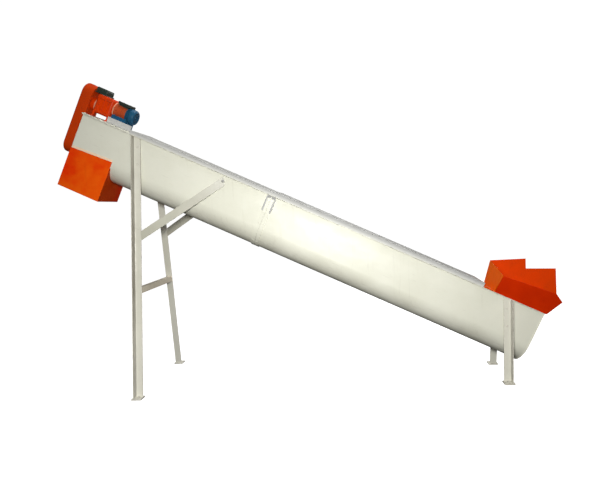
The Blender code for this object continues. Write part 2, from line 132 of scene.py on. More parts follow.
class Wire:
    """An output socket of a material's nodes, with the arithmetic that shader maths needs."""

    def __init__(self, bench: "Bench", socket: Socket) -> None:
        """Keep the socket and the bench that adds nodes to its material."""
        self.bench = bench
        self.socket = socket

    def __add__(self, other: "Wire | float") -> "Wire":
        """Return self + other."""
        return self.bench.maths("ADD", self, other)

    def __radd__(self, other: float) -> "Wire":
        """Return other + self."""
        return self.bench.maths("ADD", other, self)

    def __sub__(self, other: "Wire | float") -> "Wire":
        """Return self - other."""
        return self.bench.maths("SUBTRACT", self, other)

    def __rsub__(self, other: float) -> "Wire":
        """Return other - self."""
        return self.bench.maths("SUBTRACT", other, self)

    def __mul__(self, other: "Wire | float") -> "Wire":
        """Return self * other."""
        return self.bench.maths("MULTIPLY", self, other)

    def __rmul__(self, other: float) -> "Wire":
        """Return other * self."""
        return self.bench.maths("MULTIPLY", other, self)

    def between(self, low: float, high: float) -> "Wire":
        """Return 0 below low, 1 above high and a smooth step between them."""
        settings = {"interpolation_type": "SMOOTHSTEP"}
        sockets = {"Value": self, "From Min": low, "From Max": high}
        return self.bench.wire("ShaderNodeMapRange", settings, sockets, "Result")

    def clamped(self) -> "Wire":
        """Return self held between 0 and 1."""
        return self.bench.wire("ShaderNodeClamp", {}, {"Value": self}, "Result")


Value = Wire | float


class Bench:
    """Adds the nodes of one material or of the world."""

    def __init__(self, name: str, world: bpy.types.World | None = None) -> None:
        """Start an empty material.

        Args:
            name: the material's name.
            world: the world that the nodes are for, in place of a material.
        """
        self.material = bpy.data.materials.new(name) if world is None else None
        owner = world or self.material
        owner.use_nodes = True
        self.tree = owner.node_tree
        self.tree.nodes.clear()

    def node(self, kind: str, settings: dict, sockets: dict) -> bpy.types.Node:
        """Add one node.

        Args:
            kind: the node's type.
            settings: properties of the node, which are set first.
            sockets: values or wires, by the input's name or number.

        Returns:
            The node.
        """
        made = self.tree.nodes.new(kind)
        for key, setting in settings.items():
            setattr(made, key, setting)
        for key, value in sockets.items():
            socket = made.inputs[key]
            if isinstance(value, Wire):
                self.tree.links.new(value.socket, socket)
            else:
                socket.default_value = value
        return made

    def wire(self, kind: str, settings: dict, sockets: dict, output: str | int) -> Wire:
        """Add one node and return one of its outputs.

        Args:
            kind: the node's type.
            settings: properties of the node.
            sockets: values or wires, by the input's name or number.
            output: name or number of the output.

        Returns:
            The output.
        """
        return Wire(self, self.node(kind, settings, sockets).outputs[output])

    def maths(self, operation: str, *values: Value) -> Wire:
        """Add a Math node that works on the values."""
        return self.wire("ShaderNodeMath", {"operation": operation}, dict(enumerate(values)), "Value")

    def blend(self, factor: Value, first: "Wire | Point", second: "Wire | Point", how: str = "MIX") -> Wire:
        """Mix two colours.

        Args:
            factor: share of the second colour.
            first: colour at factor 0.
            second: colour at factor 1.
            how: blend type of the Mix node.

        Returns:
            The mixed colour.
        """
        settings = {"data_type": "RGBA", "blend_type": how}
        sockets = {0: factor, 6: opaque(first), 7: opaque(second)}
        return self.wire("ShaderNodeMix", settings, sockets, 2)

    def noise(self, place: Wire, scale: float, detail: float = 3.0, rough: float = 0.5) -> Wire:
        """Return noise with scale lumps to the metre, from about 0.25 to 0.75."""
        sockets = {"Vector": place, "Scale": scale, "Detail": detail, "Roughness": rough}
        return self.wire("ShaderNodeTexNoise", {}, sockets, 0)

    def stretched(self, place: Wire, scale: Point) -> Wire:
        """Return the place multiplied by scale, axis by axis."""
        return self.wire("ShaderNodeVectorMath", {"operation": "MULTIPLY"}, {0: place, 1: scale}, "Vector")

    def place(self) -> Wire:
        """Return where the surface is, in metres in the row frame."""
        return self.wire("ShaderNodeTexCoord", {}, {}, "Object")

    def along_trough(self, place: Wire) -> Wire:
        """Return the place turned so that x runs down the trough and z is square to it."""
        settings = {"rotation_type": "Y_AXIS"}
        sockets = {"Vector": place, "Center": (TALL_FRAME_X, 0.0, LID_HEIGHT), "Angle": -INCLINE}
        return self.wire("ShaderNodeVectorRotate", settings, sockets, "Vector")

    def facing(self) -> tuple[Wire, Wire, Wire]:
        """Return how far the surface faces up, down and along the conveyor, each from 0 to 1."""
        normal = self.wire("ShaderNodeNewGeometry", {}, {}, "Normal")
        parts = self.node("ShaderNodeSeparateXYZ", {}, {0: normal})
        height, run = Wire(self, parts.outputs["Z"]), Wire(self, parts.outputs["X"])
        return height.clamped(), (height * -1.0).clamped(), self.maths("ABSOLUTE", run).between(0.55, 0.85)

    def wear(self) -> Wire:
        """Return 1 on the edges of a piece and 0 a few millimetres away from them."""
        return self.wire("ShaderNodeAttribute", {"attribute_name": "wear"}, {}, "Fac")

    def bump(self, height: Wire, distance: float, strength: float, under: Wire | None = None) -> Wire:
        """Turn a height into a normal.

        Args:
            height: the height.
            distance: metres that height 1 stands for.
            strength: how much of it shows.
            under: normal that this one is laid over.

        Returns:
            The normal.
        """
        sockets = {"Height": height, "Distance": distance, "Strength": strength}
        if under is not None:
            sockets["Normal"] = under
        return self.wire("ShaderNodeBump", {}, sockets, "Normal")

    def surface(self, sockets: dict) -> bpy.types.Material:
        """Close the material with a Principled shader.

        Args:
            sockets: values or wires of the shader's inputs.

        Returns:
            The material.
        """
        shader = self.wire("ShaderNodeBsdfPrincipled", {}, sockets, 0)
        self.node("ShaderNodeOutputMaterial", {}, {"Surface": shader})
        return self.material


def opaque(colour: "Wire | Point") -> "Wire | Point":
    """Return a colour with its alpha, and a wire as it is."""
    return colour if isinstance(colour, Wire) else (*colour[:3], 1.0)


# Finishes


@dataclass(frozen=True)
class Enamel:
    """Sprayed enamel on sheet steel, with cloudy tone, dust, faint runs and chipped edges, painted shade on
    faces that look down or along the conveyor, and painted light near the floor and down the lids' folds.
    """

    name: str
    colour: Point
    shade: Point  # colour of the cloudy patches
    chip: Point  # what shows where the enamel is chipped
    # colour of dirt, and of the painted shade below and at the ends
    grime_and_shade: Point = (0.20, 0.17, 0.12)
    roughness: float = 0.34
    dust: float = 0.30  # on faces that look up
    shade_below: float = 0.25  # painted shade on faces that look down
    end_shade: float = 0.0  # painted shade on faces that look along the conveyor
    floor_light: float = 0.0  # painted light bounced up from the floor, paler towards the floor
    fold_highlight: float = 0.0  # painted highlight: paler paint down the lids' folded edges
    runs: float = 0.18
    chips: float = 0.5
    waves: float = 0.35  # unevenness of the sheet itself
    gloss: float = 0.5  # strength of the reflection under the coat
    coat: float = 0.12

    def make(self) -> bpy.types.Material:
        """Build the material.

        Returns:
            The material.
        """
        bench = Bench(self.name)
        place = bench.place()
        along = bench.along_trough(place)
        up, down, endways = bench.facing()
        wear = bench.wear()
        broad = bench.noise(place, 2.3, 3.0, 0.55)
        cloud = bench.noise(place, 17.0, 4.0, 0.6)
        speck = bench.noise(place, 150.0, 3.0, 0.65)
        peel = bench.noise(place, 620.0, 2.0, 0.5)
        streak = bench.noise(bench.stretched(place, (46.0, 46.0, 2.6)), 1.0, 3.0, 0.6)
        scuff = bench.noise(bench.stretched(along, (6.0, 90.0, 90.0)), 1.0, 2.0, 0.7)

        patches = (0.78 * broad.between(0.38, 0.62) + 0.22 * cloud.between(0.36, 0.68)).clamped()
        colour = bench.blend(patches, self.colour, self.shade)

        dusty = self.dust * up * cloud.between(0.30, 0.62)
        # painted shade: darker on faces that look down
        shaded_below = self.shade_below * down * broad.between(0.28, 0.60)
        runs = self.runs * streak.between(0.54, 0.74) * (1.0 - up) * broad.between(0.40, 0.62)
        # scuffs along the trough are wear; the darkening of faces that look along the conveyor is painted
        # shade
        scuffs_and_end_shade = 0.16 * scuff.between(0.66, 0.74)
        scuffs_and_end_shade += self.end_shade * endways * (0.7 + 0.3 * broad.between(0.3, 0.6))
        # dust, runs and scuffs, with the painted shade below and at the ends, in one share
        grime_and_shade_share = (dusty + shaded_below + runs + scuffs_and_end_shade).clamped()
        colour = bench.blend(grime_and_shade_share, colour, self.grime_and_shade)
        # painted light bounced up from the floor, strongest at the floor
        if self.floor_light:
            height = bench.wire("ShaderNodeSeparateXYZ", {}, {0: place}, "Z")
            floor_light_share = (1.0 - height.between(0.0, FLOOR_LIGHT_HEIGHT)) * (0.8 + 0.2 * cloud.between(0.3, 0.7))
            colour = bench.blend((self.floor_light * floor_light_share).clamped(), colour, FLOOR_LIGHT_PAINT)
        # painted highlight down the lids' folded edges, palest at their foot
        if self.fold_highlight:
            above = bench.wire("ShaderNodeSeparateXYZ", {}, {0: along}, "Z") - LID_HEIGHT
            share = self.fold_highlight * (1.0 - above.between(TROUGH_TOP, 0.0))
            colour = bench.blend(share, colour, FOLD_HIGHLIGHT_PAINT)

        rim = wear * 0.34 + speck * 0.9 + cloud * 0.25
        chipped = self.chips * rim.between(0.90, 0.97)
        spots = 0.5 * self.chips * (speck * 0.7 + cloud * 0.5).between(0.765, 0.795)
        bare = (chipped + spots).clamped()
        colour = bench.blend(bare, colour, self.chip)

        roughness = self.roughness + 0.10 * (cloud - 0.5) + 0.30 * grime_and_shade_share + 0.25 * bare
        hollows = bench.noise(along, 5.5, 2.0, 0.4)
        normal = bench.bump(hollows, 0.012, self.waves)
        normal = bench.bump(peel * 0.7 - bare * 1.6, 0.0004, 0.35, normal)
        return bench.surface({
            "Base Color": colour,
            "Roughness": roughness.clamped(),
            "Normal": normal,
            "Specular IOR Level": self.gloss,
            "Coat Weight": self.coat,
            "Coat Roughness": 0.18,
        })


@dataclass(frozen=True)
class WornSteel:
    """Bare steel rubbed bright by what it carries, with darker stains."""

    name: str
    bright: Point = (0.46, 0.45, 0.43)
    stain: Point = (0.16, 0.12, 0.09)
    roughness: float = 0.34

    def make(self) -> bpy.types.Material:
        """Build the material.

        Returns:
            The material.
        """
        bench = Bench(self.name)
        place = bench.place()
        wear = bench.wear()
        cloud = bench.noise(place, 14.0, 5.0, 0.6)
        grain = bench.noise(bench.stretched(bench.along_trough(place), (40.0, 700.0, 700.0)), 1.0, 3.0, 0.6)
        stained = (cloud.between(0.42, 0.66) * (1.0 - 0.7 * wear)).clamped()
        colour = bench.blend(stained, self.bright, self.stain)
        colour = bench.blend(0.35 * grain.between(0.35, 0.7), colour, (0.28, 0.27, 0.26))
        roughness = self.roughness + 0.35 * stained + 0.12 * (grain - 0.5)
        normal = bench.bump(grain, 0.0003, 0.4)
        return bench.surface({
            "Base Color": colour,
            "Roughness": roughness.clamped(),
            "Metallic": (1.0 - 0.75 * stained).clamped(),
            "Normal": normal,
        })


@dataclass(frozen=True)
class Casting:
    """A sand casting under thin dark paint."""

    name: str
    colour: Point = (0.10, 0.11, 0.12)
    rust: Point = (0.17, 0.09, 0.05)
    roughness: float = 0.55

    def make(self) -> bpy.types.Material:
        """Build the material.

        Returns:
            The material.
        """
        bench = Bench(self.name)
        place = bench.place()
        wear = bench.wear()
        sand = bench.noise(place, 420.0, 4.0, 0.6)
        cloud = bench.noise(place, 28.0, 4.0, 0.6)
        rusty = (wear * 0.35 + cloud * 0.8 + sand * 0.25).between(0.70, 0.86)
        colour = bench.blend(0.7 * rusty, self.colour, self.rust)
        normal = bench.bump(sand, 0.0012, 0.5)
        roughness = self.roughness + 0.25 * rusty + 0.1 * (sand - 0.5)
        return bench.surface({"Base Color": colour, "Roughness": roughness.clamped(), "Normal": normal})


@dataclass(frozen=True)
class ZincPlate:
    """Zinc plated fasteners, dulled by handling."""

    name: str
    colour: Point = (0.55, 0.54, 0.50)

    def make(self) -> bpy.types.Material:
        """Build the material.

        Returns:
            The material.
        """
        bench = Bench(self.name)
        place = bench.place()
        cloud = bench.noise(place, 90.0, 3.0, 0.6)
        dull = cloud.between(0.40, 0.66)
        colour = bench.blend(dull, self.colour, (0.30, 0.28, 0.24))
        sockets = {"Base Color": colour, "Roughness": 0.28 + 0.3 * dull, "Metallic": 0.95 - 0.3 * dull}
        return bench.surface(sockets)


@dataclass(frozen=True)
class Rubber:
    """Black rubber or moulded plastic of seals, plugs and glands."""

    name: str
    colour: Point = (0.018, 0.018, 0.020)

    def make(self) -> bpy.types.Material:
        """Build the material.

        Returns:
            The material.
        """
        bench = Bench(self.name)
        place = bench.place()
        grain = bench.noise(place, 500.0, 2.0, 0.5)
        dusty = bench.noise(place, 30.0, 3.0, 0.6).between(0.45, 0.7)
        colour = bench.blend(0.35 * dusty, self.colour, (0.10, 0.095, 0.085))
        normal = bench.bump(grain, 0.0003, 0.4)
        return bench.surface({"Base Color": colour, "Roughness": 0.5 + 0.25 * dusty, "Normal": normal})


CREAM = Enamel("cream_enamel", (0.735, 0.73, 0.615), (0.695, 0.69, 0.57), (0.34, 0.28, 0.21), runs=0.10,
               chips=0.3)
# The lids' grey, darker than the trough's cream, is painted shade on their tops.
SHADED_LID_GREY = Enamel("lid_enamel", (0.385, 0.385, 0.37), (0.355, 0.355, 0.34), (0.30, 0.27, 0.23),
                  roughness=0.60, dust=0.15, fold_highlight=0.75, runs=0.15, chips=0.12, waves=0.02,
                  gloss=0.05, coat=0.0)
CLAMP_GREY = replace(SHADED_LID_GREY, name="clamp_enamel", colour=(0.32, 0.32, 0.31), shade=(0.30, 0.30, 0.29),
                     chip=(0.24, 0.22, 0.19), fold_highlight=0.0)
TRAY_GREY = replace(SHADED_LID_GREY, name="tray_enamel", colour=(0.48, 0.48, 0.465), shade=(0.43, 0.43, 0.415),
                    roughness=0.50, fold_highlight=0.0, chips=0.2, waves=0.05, gloss=0.2, coat=0.02)
LEG_CREAM = Enamel("leg_enamel", (0.64, 0.625, 0.53), (0.59, 0.575, 0.48), (0.26, 0.19, 0.13),
                   grime_and_shade=(0.15, 0.13, 0.10), end_shade=0.78, floor_light=0.40, waves=0.12, runs=0.15, chips=0.4)
# The low legs', braces' and cross bar's copies of the leg paint are painted light and shade: each made
# lighter or darker by how light falls on it.
LOW_LEG_CREAM = replace(LEG_CREAM, name="low_leg_enamel", colour=(0.63, 0.615, 0.52),
                        shade=(0.58, 0.565, 0.47), end_shade=0.35, floor_light=0.10)
SHADED_BRACE_CREAM = Enamel("brace_enamel", (0.48, 0.47, 0.38), (0.43, 0.42, 0.335), (0.26, 0.19, 0.13),
                     waves=0.12, runs=0.25, chips=0.4)
LIT_BAR_CREAM = replace(SHADED_BRACE_CREAM, name="cross_bar_enamel", colour=(0.76, 0.68, 0.54), shade=(0.68, 0.61, 0.48))
# Its brighter, yellower patches are partly painted highlight of a soft glow on the chute.
ORANGE = Enamel("orange_enamel", (0.78, 0.026, 0.0), (0.86, 0.108, 0.002), (0.20, 0.05, 0.02),
                grime_and_shade=(0.30, 0.014, 0.001), roughness=0.42, dust=0.10, end_shade=0.55, runs=0.12, chips=0.3,
                gloss=0.08, coat=0.02)
# The near and downhill walls take a darker copy of the board's paint: painted shade on walls that face down
# or away from the light.
SHADED_HOPPER_ORANGE = replace(ORANGE, name="hopper_enamel", colour=(0.65, 0.028, 0.0), shade=(0.59, 0.020, 0.0),
                        chip=(0.18, 0.04, 0.02), grime_and_shade=(0.26, 0.020, 0.002), end_shade=0.0)
BOARD_ORANGE = replace(SHADED_HOPPER_ORANGE, name="board_enamel", colour=(0.76, 0.046, 0.0),
                       shade=(0.66, 0.044, 0.0))
WARM_ORANGE = replace(ORANGE, name="uphill_enamel", colour=(0.68, 0.096, 0.0), shade=(0.63, 0.088, 0.0),
                      grime_and_shade=(0.34, 0.045, 0.004), roughness=0.46, dust=0.08, end_shade=0.0, runs=0.10,
                      gloss=0.06, coat=0.01)
DRIVE_ORANGE = Enamel("drive_enamel", (0.66, 0.042, 0.0), (0.58, 0.034, 0.0), (0.16, 0.05, 0.03),
                      grime_and_shade=(0.20, 0.030, 0.008), roughness=0.44, dust=0.12, waves=0.05, chips=0.3,
                      gloss=0.08, coat=0.02)
DULL_ORANGE = replace(DRIVE_ORANGE, name="adaptor_enamel", colour=(0.52, 0.056, 0.006),
                      shade=(0.36, 0.060, 0.016), chip=(0.16, 0.06, 0.04), grime_and_shade=(0.20, 0.08, 0.05),
                      roughness=0.50, dust=0.15, gloss=0.10)
GUARD_ORANGE = replace(DRIVE_ORANGE, name="guard_enamel", colour=(0.54, 0.043, 0.002),
                       shade=(0.46, 0.032, 0.002), chip=(0.13, 0.04, 0.02), grime_and_shade=(0.16, 0.030, 0.008),
                       roughness=0.45, waves=0.08, chips=0.35)
# pale strip along the chute's top: painted highlight of light caught on the walls' top edge
TOP_EDGE_HIGHLIGHT = Enamel("top_edge_highlight_paint", (0.94, 0.72, 0.52), (0.90, 0.64, 0.42), (0.50, 0.30, 0.20), runs=0.10, chips=0.2)
BLUE = Enamel("motor_enamel", (0.010, 0.082, 0.185), (0.008, 0.070, 0.125), (0.08, 0.08, 0.08),
              grime_and_shade=(0.03, 0.045, 0.06), roughness=0.44, dust=0.15, waves=0.05, chips=0.25, gloss=0.15,
              coat=0.02)
GREEN = replace(BLUE, name="cover_enamel", colour=(0.020, 0.036, 0.026), shade=(0.014, 0.026, 0.020),
                chip=(0.10, 0.08, 0.06), grime_and_shade=(0.06, 0.055, 0.045), roughness=0.46, gloss=0.25, coat=0.03)
# The pale rings partly stand for painted highlight along the casings' seams.
PALE = Enamel("flange_enamel", (0.84, 0.36, 0.20), (0.80, 0.27, 0.13), (0.28, 0.20, 0.15), waves=0.03,
              chips=0.4)
STEEL = WornSteel("worn_steel")
IRON = Casting("bearing_casting")
ZINC = ZincPlate("zinc_plate")
RUBBER = Rubber("black_rubber")

Finish = Enamel | WornSteel | Casting | ZincPlate | Rubber


class Paints:
    """Makes each finish's material once."""

    def __init__(self) -> None:
        """Start with no material made."""
        self.made: dict[str, bpy.types.Material] = {}

    def of(self, finish: Finish) -> bpy.types.Material:
        """Return the material of a finish, made on first use."""
        if finish.name not in self.made:
            self.made[finish.name] = finish.make()
        return self.made[finish.name]


PAINTS = Paints()


# Mesh making


def wear_layer(body: Body) -> bmesh.types.BMLayerItem:
    """Return the layer that holds each vertex's wear, made on first use."""
    layers = body.verts.layers.float
    return layers.get("wear") or layers.new("wear")


def wear_folds(body: Body) -> Body:
    """Mark the folds of a part as worn.

    Args:
        body: the part.

    Returns:
        The same part.
    """
    wear = wear_layer(body)
    for item in body.edges:
        if item.is_manifold and item.calc_face_angle(0.0) > BEND:
            for vert in item.verts:
                vert[wear] = 1.0
    return body


def soften(body: Body, edge: float, segments: int = 2, ring: float = RING) -> Body:
    """Round the folds of a part and lay a narrow ring inside its broad faces, for the wear along edges.

    Args:
        body: the part.
        edge: width of the rounding, or 0 for none.
        segments: faces across the rounding.
        ring: width of the ring.

    Returns:
        The same part.
    """
    wear = wear_layer(body)
    folds = [item for item in body.edges if item.is_manifold and item.calc_face_angle(0.0) > BEND]
    if edge and folds:
        made = bmesh.ops.bevel(body, geom=folds, offset=edge, offset_type="OFFSET", segments=segments,
                               profile=0.5, affect="EDGES", clamp_overlap=True)
        for vert in made["verts"]:
            vert[wear] = 1.0
    broad = [face for face in body.faces if face.calc_area() > ring * face.calc_perimeter()]
    if broad:
        bmesh.ops.inset_individual(body, faces=broad, thickness=ring, use_even_offset=True)
        for face in broad:
            for vert in face.verts:
                vert[wear] = 0.0
    return body


def loft(rows: Sequence[Sequence[Point]], closed: bool = False) -> Body:
    """A part through rows of points, each of them a ring or one point.

    Args:
        rows: points (x, y, z), with their wear as a fourth value where they have any.
        closed: whether the last row joins the first, so that no end is capped.

    Returns:
        The part, its faces turned outwards.
    """
    body = bmesh.new()
    wear = wear_layer(body)
    made = [[body.verts.new(point[:3]) for point in row] for row in rows]
    for verts, row in zip(made, rows):
        for vert, point in zip(verts, row):
            vert[wear] = point[3] if len(point) > 3 else 0.0
    for first, last in zip(made, made[1:] + made[:1] if closed else made[1:]):
        for k in range(max(len(first), len(last))):
            corners = [first[k % len(first)], first[(k + 1) % len(first)],
                       last[(k + 1) % len(last)], last[k % len(last)]]
            body.faces.new(list(dict.fromkeys(corners)))
    for end in () if closed else (made[0], made[-1]):
        if len(end) > 2:
            body.faces.new(end)
    bmesh.ops.recalc_face_normals(body, faces=body.faces)
    return body


def prism(outline: Corners, depth: float, edge: float = EDGE, segments: int = 2, ring: float = RING) -> Body:
    """A plate cut to an outline in x and y, from z = 0 to z = depth, softened as soften says.

    Args:
        outline: the outline's corners.
        depth: thickness of the plate.
        edge: rounding of its edges.
        segments: faces across the rounding.
        ring: width of the worn ring.

    Returns:
        The part.
    """
    return soften(loft([[(x, y, z) for x, y in outline] for z in (0.0, depth)]), edge, segments, ring)


def block(low: Point, high: Point, edge: float = EDGE, segments: int = 2) -> Body:
    """A block between two corners, softened as soften says.

    Args:
        low: its lowest corner.
        high: its highest corner.
        edge: rounding of its edges.
        segments: faces across the rounding.

    Returns:
        The part.
    """
    outline = [(low[0], low[1]), (high[0], low[1]), (high[0], high[1]), (low[0], high[1])]
    body = prism(outline, high[2] - low[2], edge, segments)
    bmesh.ops.translate(body, verts=body.verts, vec=(0.0, 0.0, low[2]))
    return body


def slab(corners: Sequence[Point], thickness: float) -> Body:
    """A flat sheet from the corners of one face, its thickness laid along that face's normal.

    Args:
        corners: corners of the face.
        thickness: thickness of the sheet.

    Returns:
        The part.
    """
    first = [Vector(corner) for corner in corners]
    turns = (corner.cross(after) for corner, after in zip(first, first[1:] + first[:1]))
    normal = sum(turns, Vector((0.0, 0.0, 0.0))).normalized()
    return soften(loft([first, [corner + normal * thickness for corner in first]]), EDGE)


def lathe(profile: Sequence[tuple[float, float]], steps: int = 48, ring: bool = False) -> Body:
    """A turned part on the x axis, worn along its folds.

    Args:
        profile: points (radius, x); it is closed through the axis, or on itself for a ring.
        steps: facets round it.
        ring: whether the profile closes on itself.

    Returns:
        The part.
    """
    turns = [2 * pi * k / steps for k in range(steps)]
    rows = [[(x, radius * sin(a), radius * cos(a)) for a in (turns if radius > 1e-6 else turns[:1])]
            for radius, x in profile]
    return wear_folds(loft(rows, ring))


def sheet(front: Grid, back: Grid, keep: Callable[[int, int], bool] | None = None) -> Body:
    """A sheet between two matching grids of points, worn along its rim.

    Args:
        front: rows of points on one surface.
        back: rows of points on the other.
        keep: whether the cell at (row, column) is sheet and not a hole.

    Returns:
        The part.
    """
    body = bmesh.new()
    wear = wear_layer(body)
    ahead, behind = ([[body.verts.new(point) for point in row] for row in grid] for grid in (front, back))
    cells = {(row, column) for row in range(len(front) - 1) for column in range(len(front[0]) - 1)
             if keep is None or keep(row, column)}
    for row, column in sorted(cells):
        cell = [(row, column), (row + 1, column), (row + 1, column + 1), (row, column + 1)]
        body.faces.new([ahead[r][c] for r, c in cell])
        body.faces.new([behind[r][c] for r, c in reversed(cell)])
        beside = [(row, column - 1), (row + 1, column), (row, column + 1), (row - 1, column)]
        for k, neighbour in enumerate(beside):
            if neighbour in cells:
                continue
            (r, c), (next_r, next_c) = cell[k], cell[(k + 1) % 4]
            rim = [ahead[r][c], ahead[next_r][next_c], behind[next_r][next_c], behind[r][c]]
            body.faces.new(rim)
            for vert in rim:
                vert[wear] = 1.0
    loose = [vert for vert in body.verts if not vert.link_faces]
    bmesh.ops.delete(body, geom=loose, context="VERTS")
    bmesh.ops.recalc_face_normals(body, faces=body.faces)
    return body


def tube(path: Sequence[Point], radius: float, sides: int = 8, ripple: float = 0.0,
         closed: bool = False) -> Body:
    """A round bar along a path.

    Args:
        path: points along its middle.
        radius: its radius.
        sides: facets round it.
        ripple: share by which every second ring is thinner, as in a weld.
        closed: whether the path joins its start.

    Returns:
        The part.
    """
    spots = [Vector(point) for point in path]
    count = len(spots)
    turns = [2 * pi * j / sides for j in range(sides)]
    rows = []
    across = None
    for k, spot in enumerate(spots):
        before = spots[k - 1] if k or closed else spot
        after = spots[(k + 1) % count] if k + 1 < count or closed else spot
        ahead = (after - before).normalized()
        guide = across if across is not None else ahead.orthogonal()
        across = (guide - ahead * guide.dot(ahead)).normalized()
        other = ahead.cross(across)
        size = radius * (1.0 - ripple * (k % 2))
        rows.append([spot + (across * cos(a) + other * sin(a)) * size for a in turns])
    return loft(rows, closed)


def stepped(path: Sequence[Point], pitch: float) -> list[Vector]:
    """Points along a path, its corners among them.

    Args:
        path: the path's corners.
        pitch: about how far apart they are.

    Returns:
        The points.
    """
    spots = [Vector(point) for point in path]
    made = [spots[0]]
    for first, last in zip(spots, spots[1:]):
        count = max(1, round((last - first).length / pitch))
        made += [first.lerp(last, k / count) for k in range(1, count + 1)]
    return made


def bolt_head(size: float, washer: bool = True) -> Body:
    """A hexagon head on its washer, standing on x = 0 and looking along +x.

    Args:
        size: thread diameter.
        washer: whether it has a washer.

    Returns:
        The part.
    """
    base = 0.16 * size if washer else 0.0
    across, height = 0.95 * size, 0.62 * size
    body = lathe([(0.0, base + height), (0.80 * across, base + height), (across, base + 0.84 * height),
                  (across, base), (0.0, base)], steps=6)
    if washer:
        rim = 1.15 * size
        merge(body, lathe([(0.0, base), (1.10 * size, base), (rim, 0.6 * base), (rim, 0.0), (0.0, 0.0)], 20))
    return body


def merge(body: Body, extra: Body, place: Matrix = LEVEL) -> None:
    """Add a part to another and free it.

    Args:
        body: the part that grows.
        extra: the part that is added.
        place: how the added part is turned and moved.
    """
    mesh = bpy.data.meshes.new("part")
    extra.to_mesh(mesh)
    extra.free()
    mesh.transform(place)
    body.from_mesh(mesh)
    bpy.data.meshes.remove(mesh)


def looking(spot: Point, along: Point) -> Matrix:
    """Return the matrix that moves a part to spot and turns its x axis along a direction."""
    ahead = Vector(along).normalized()
    return Matrix.Translation(spot) @ ahead.to_track_quat("X", "Z").to_matrix().to_4x4()


class Piece:
    """One named piece in the making: parts go in one by one, each with its finish."""

    def __init__(self, name: str, slot: Slot, replaces: Sequence[str], place: Matrix = TROUGH_FRAME) -> None:
        """Start the piece.

        Args:
            name: the piece's name.
            slot: the record's material slot; it is not used.
            replaces: CAD nodes that the piece stands for.
            place: the frame that its parts are given in.
        """
        self.name = name
        self.slot = slot
        self.replaces = replaces
        self.place = place
        self.body = bmesh.new()
        self.finishes: list[Finish] = []
        wear_layer(self.body)

    def add(self, part: Body, finish: Finish, place: Matrix = LEVEL) -> None:
        """Add a part.

        Args:
            part: the part, which is freed.
            finish: its finish.
            place: where it goes, in the piece's frame.
        """
        if finish not in self.finishes:
            self.finishes.append(finish)
        start = len(self.body.faces)
        merge(self.body, part, self.place @ place)
        self.body.faces.ensure_lookup_table()
        for face in self.body.faces[start:]:
            face.material_index = self.finishes.index(finish)
            face.smooth = True

    def bolts(self, spots: Sequence[Point], along: Point, size: float, finish: Finish = ZINC,
              washer: bool = True) -> None:
        """Add hexagon heads.

        Args:
            spots: where they stand.
            along: where they look.
            size: thread diameter.
            finish: their finish.
            washer: whether they have washers.
        """
        for spot in spots:
            self.add(bolt_head(size, washer), finish, looking(spot, along))

    def weld(self, path: Sequence[Point], radius: float, finish: Finish, closed: bool = False) -> None:
        """Add a weld along a path.

        Args:
            path: corners of the joint's line.
            radius: size of the weld.
            finish: its finish.
            closed: whether the path joins its start.
        """
        spots = stepped([*path, path[0]] if closed else path, WELD_STEP * radius)
        if closed:
            spots.pop()
        self.add(tube(spots, radius, WELD_SIDES, WELD_RIPPLE, closed), finish)

    def done(self) -> None:
        """Make the object, ride it on the one body and report it."""
        for item in self.body.edges:
            item.smooth = item.is_manifold and item.calc_face_angle(0.0) < CREASE
        mesh = bpy.data.meshes.new(self.name)
        self.body.to_mesh(mesh)
        self.body.free()
        for finish in self.finishes:
            mesh.materials.append(PAINTS.of(finish))
        item = bpy.data.objects.new(self.name, mesh)
        bpy.context.scene.collection.objects.link(item)
        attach(item, "root")
        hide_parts(*self.replaces)
        LOG.info("%s: %d faces, stands for %s", self.name, len(mesh.polygons), ", ".join(self.replaces))


def arc(x: float, y: float, radius: float, first: float, last: float, steps: int) -> Corners:
    """Return points on an arc from angle first to angle last, both included."""
    turns = [first + (last - first) * k / steps for k in range(steps + 1)]
    return [(x + radius * cos(a), y + radius * sin(a)) for a in turns]


def stations(start: float, end: float, extra: Sequence[float] = ()) -> list[float]:
    """Places along a run, close to its ends and at an even step between.

    Args:
        start: start of the run.
        end: end of the run.
        extra: places that are needed as well, which take the place of others close by.

    Returns:
        The places in order.
    """
    inner = [start + RING, end - RING]
    count = max(1, ceil((inner[1] - inner[0]) / STATION_STEP))
    even = [inner[0] + (inner[1] - inner[0]) * k / count for k in range(count + 1)]
    kept = [s for s in even if s in inner or all(abs(s - other) > STATION_GAP for other in extra)]
    return sorted({start, end, *kept, *extra})


def bend(y: float, t: float, radius: float, thick: float, first: float, last: float) -> list[Pair]:
    """Points (y, t) on both surfaces of a sheet round a bend.

    Args:
        y: middle of the bend.
        t: middle of the bend.
        radius: inner radius.
        thick: thickness of the sheet.
        first: angle where it starts.
        last: angle where it ends.

    Returns:
        Outer and inner point, pair by pair.
    """
    outer, inner = (arc(y, t, size, first, last, BEND_STEPS) for size in (radius + thick, radius))
    return list(zip(outer, inner))


def mirrored(pairs: list[Pair]) -> list[Pair]:
    """Return pairs of points (y, t) mirrored to the other side, last pair first."""
    return [((-a[0], a[1]), (-b[0], b[1])) for a, b in reversed(pairs)]


def along_run(pairs: list[Pair], places: list[float], keep: Callable[[int, int], bool] | None = None) -> Body:
    """A folded sheet that runs along the trough.

    Args:
        pairs: points (y, t) on its two surfaces.
        places: s of its rows.
        keep: whether the cell at (row, column) is sheet and not a hole.

    Returns:
        The part.
    """
    front, back = ([[(s, *pair[face]) for pair in pairs] for s in places] for face in (0, 1))
    return sheet(front, back, keep)


# Matrices that lay an outline (y, t) with its depth along s, and an outline (s, t) with its depth along -y
ACROSS = Matrix(((0, 0, 1, 0), (1, 0, 0, 0), (0, 1, 0, 0), (0, 0, 0, 1)))
LENGTHWISE = Matrix(((1, 0, 0, 0), (0, 0, -1, 0), (0, 1, 0, 0), (0, 0, 0, 1)))


# The conveyor's sub-assemblies


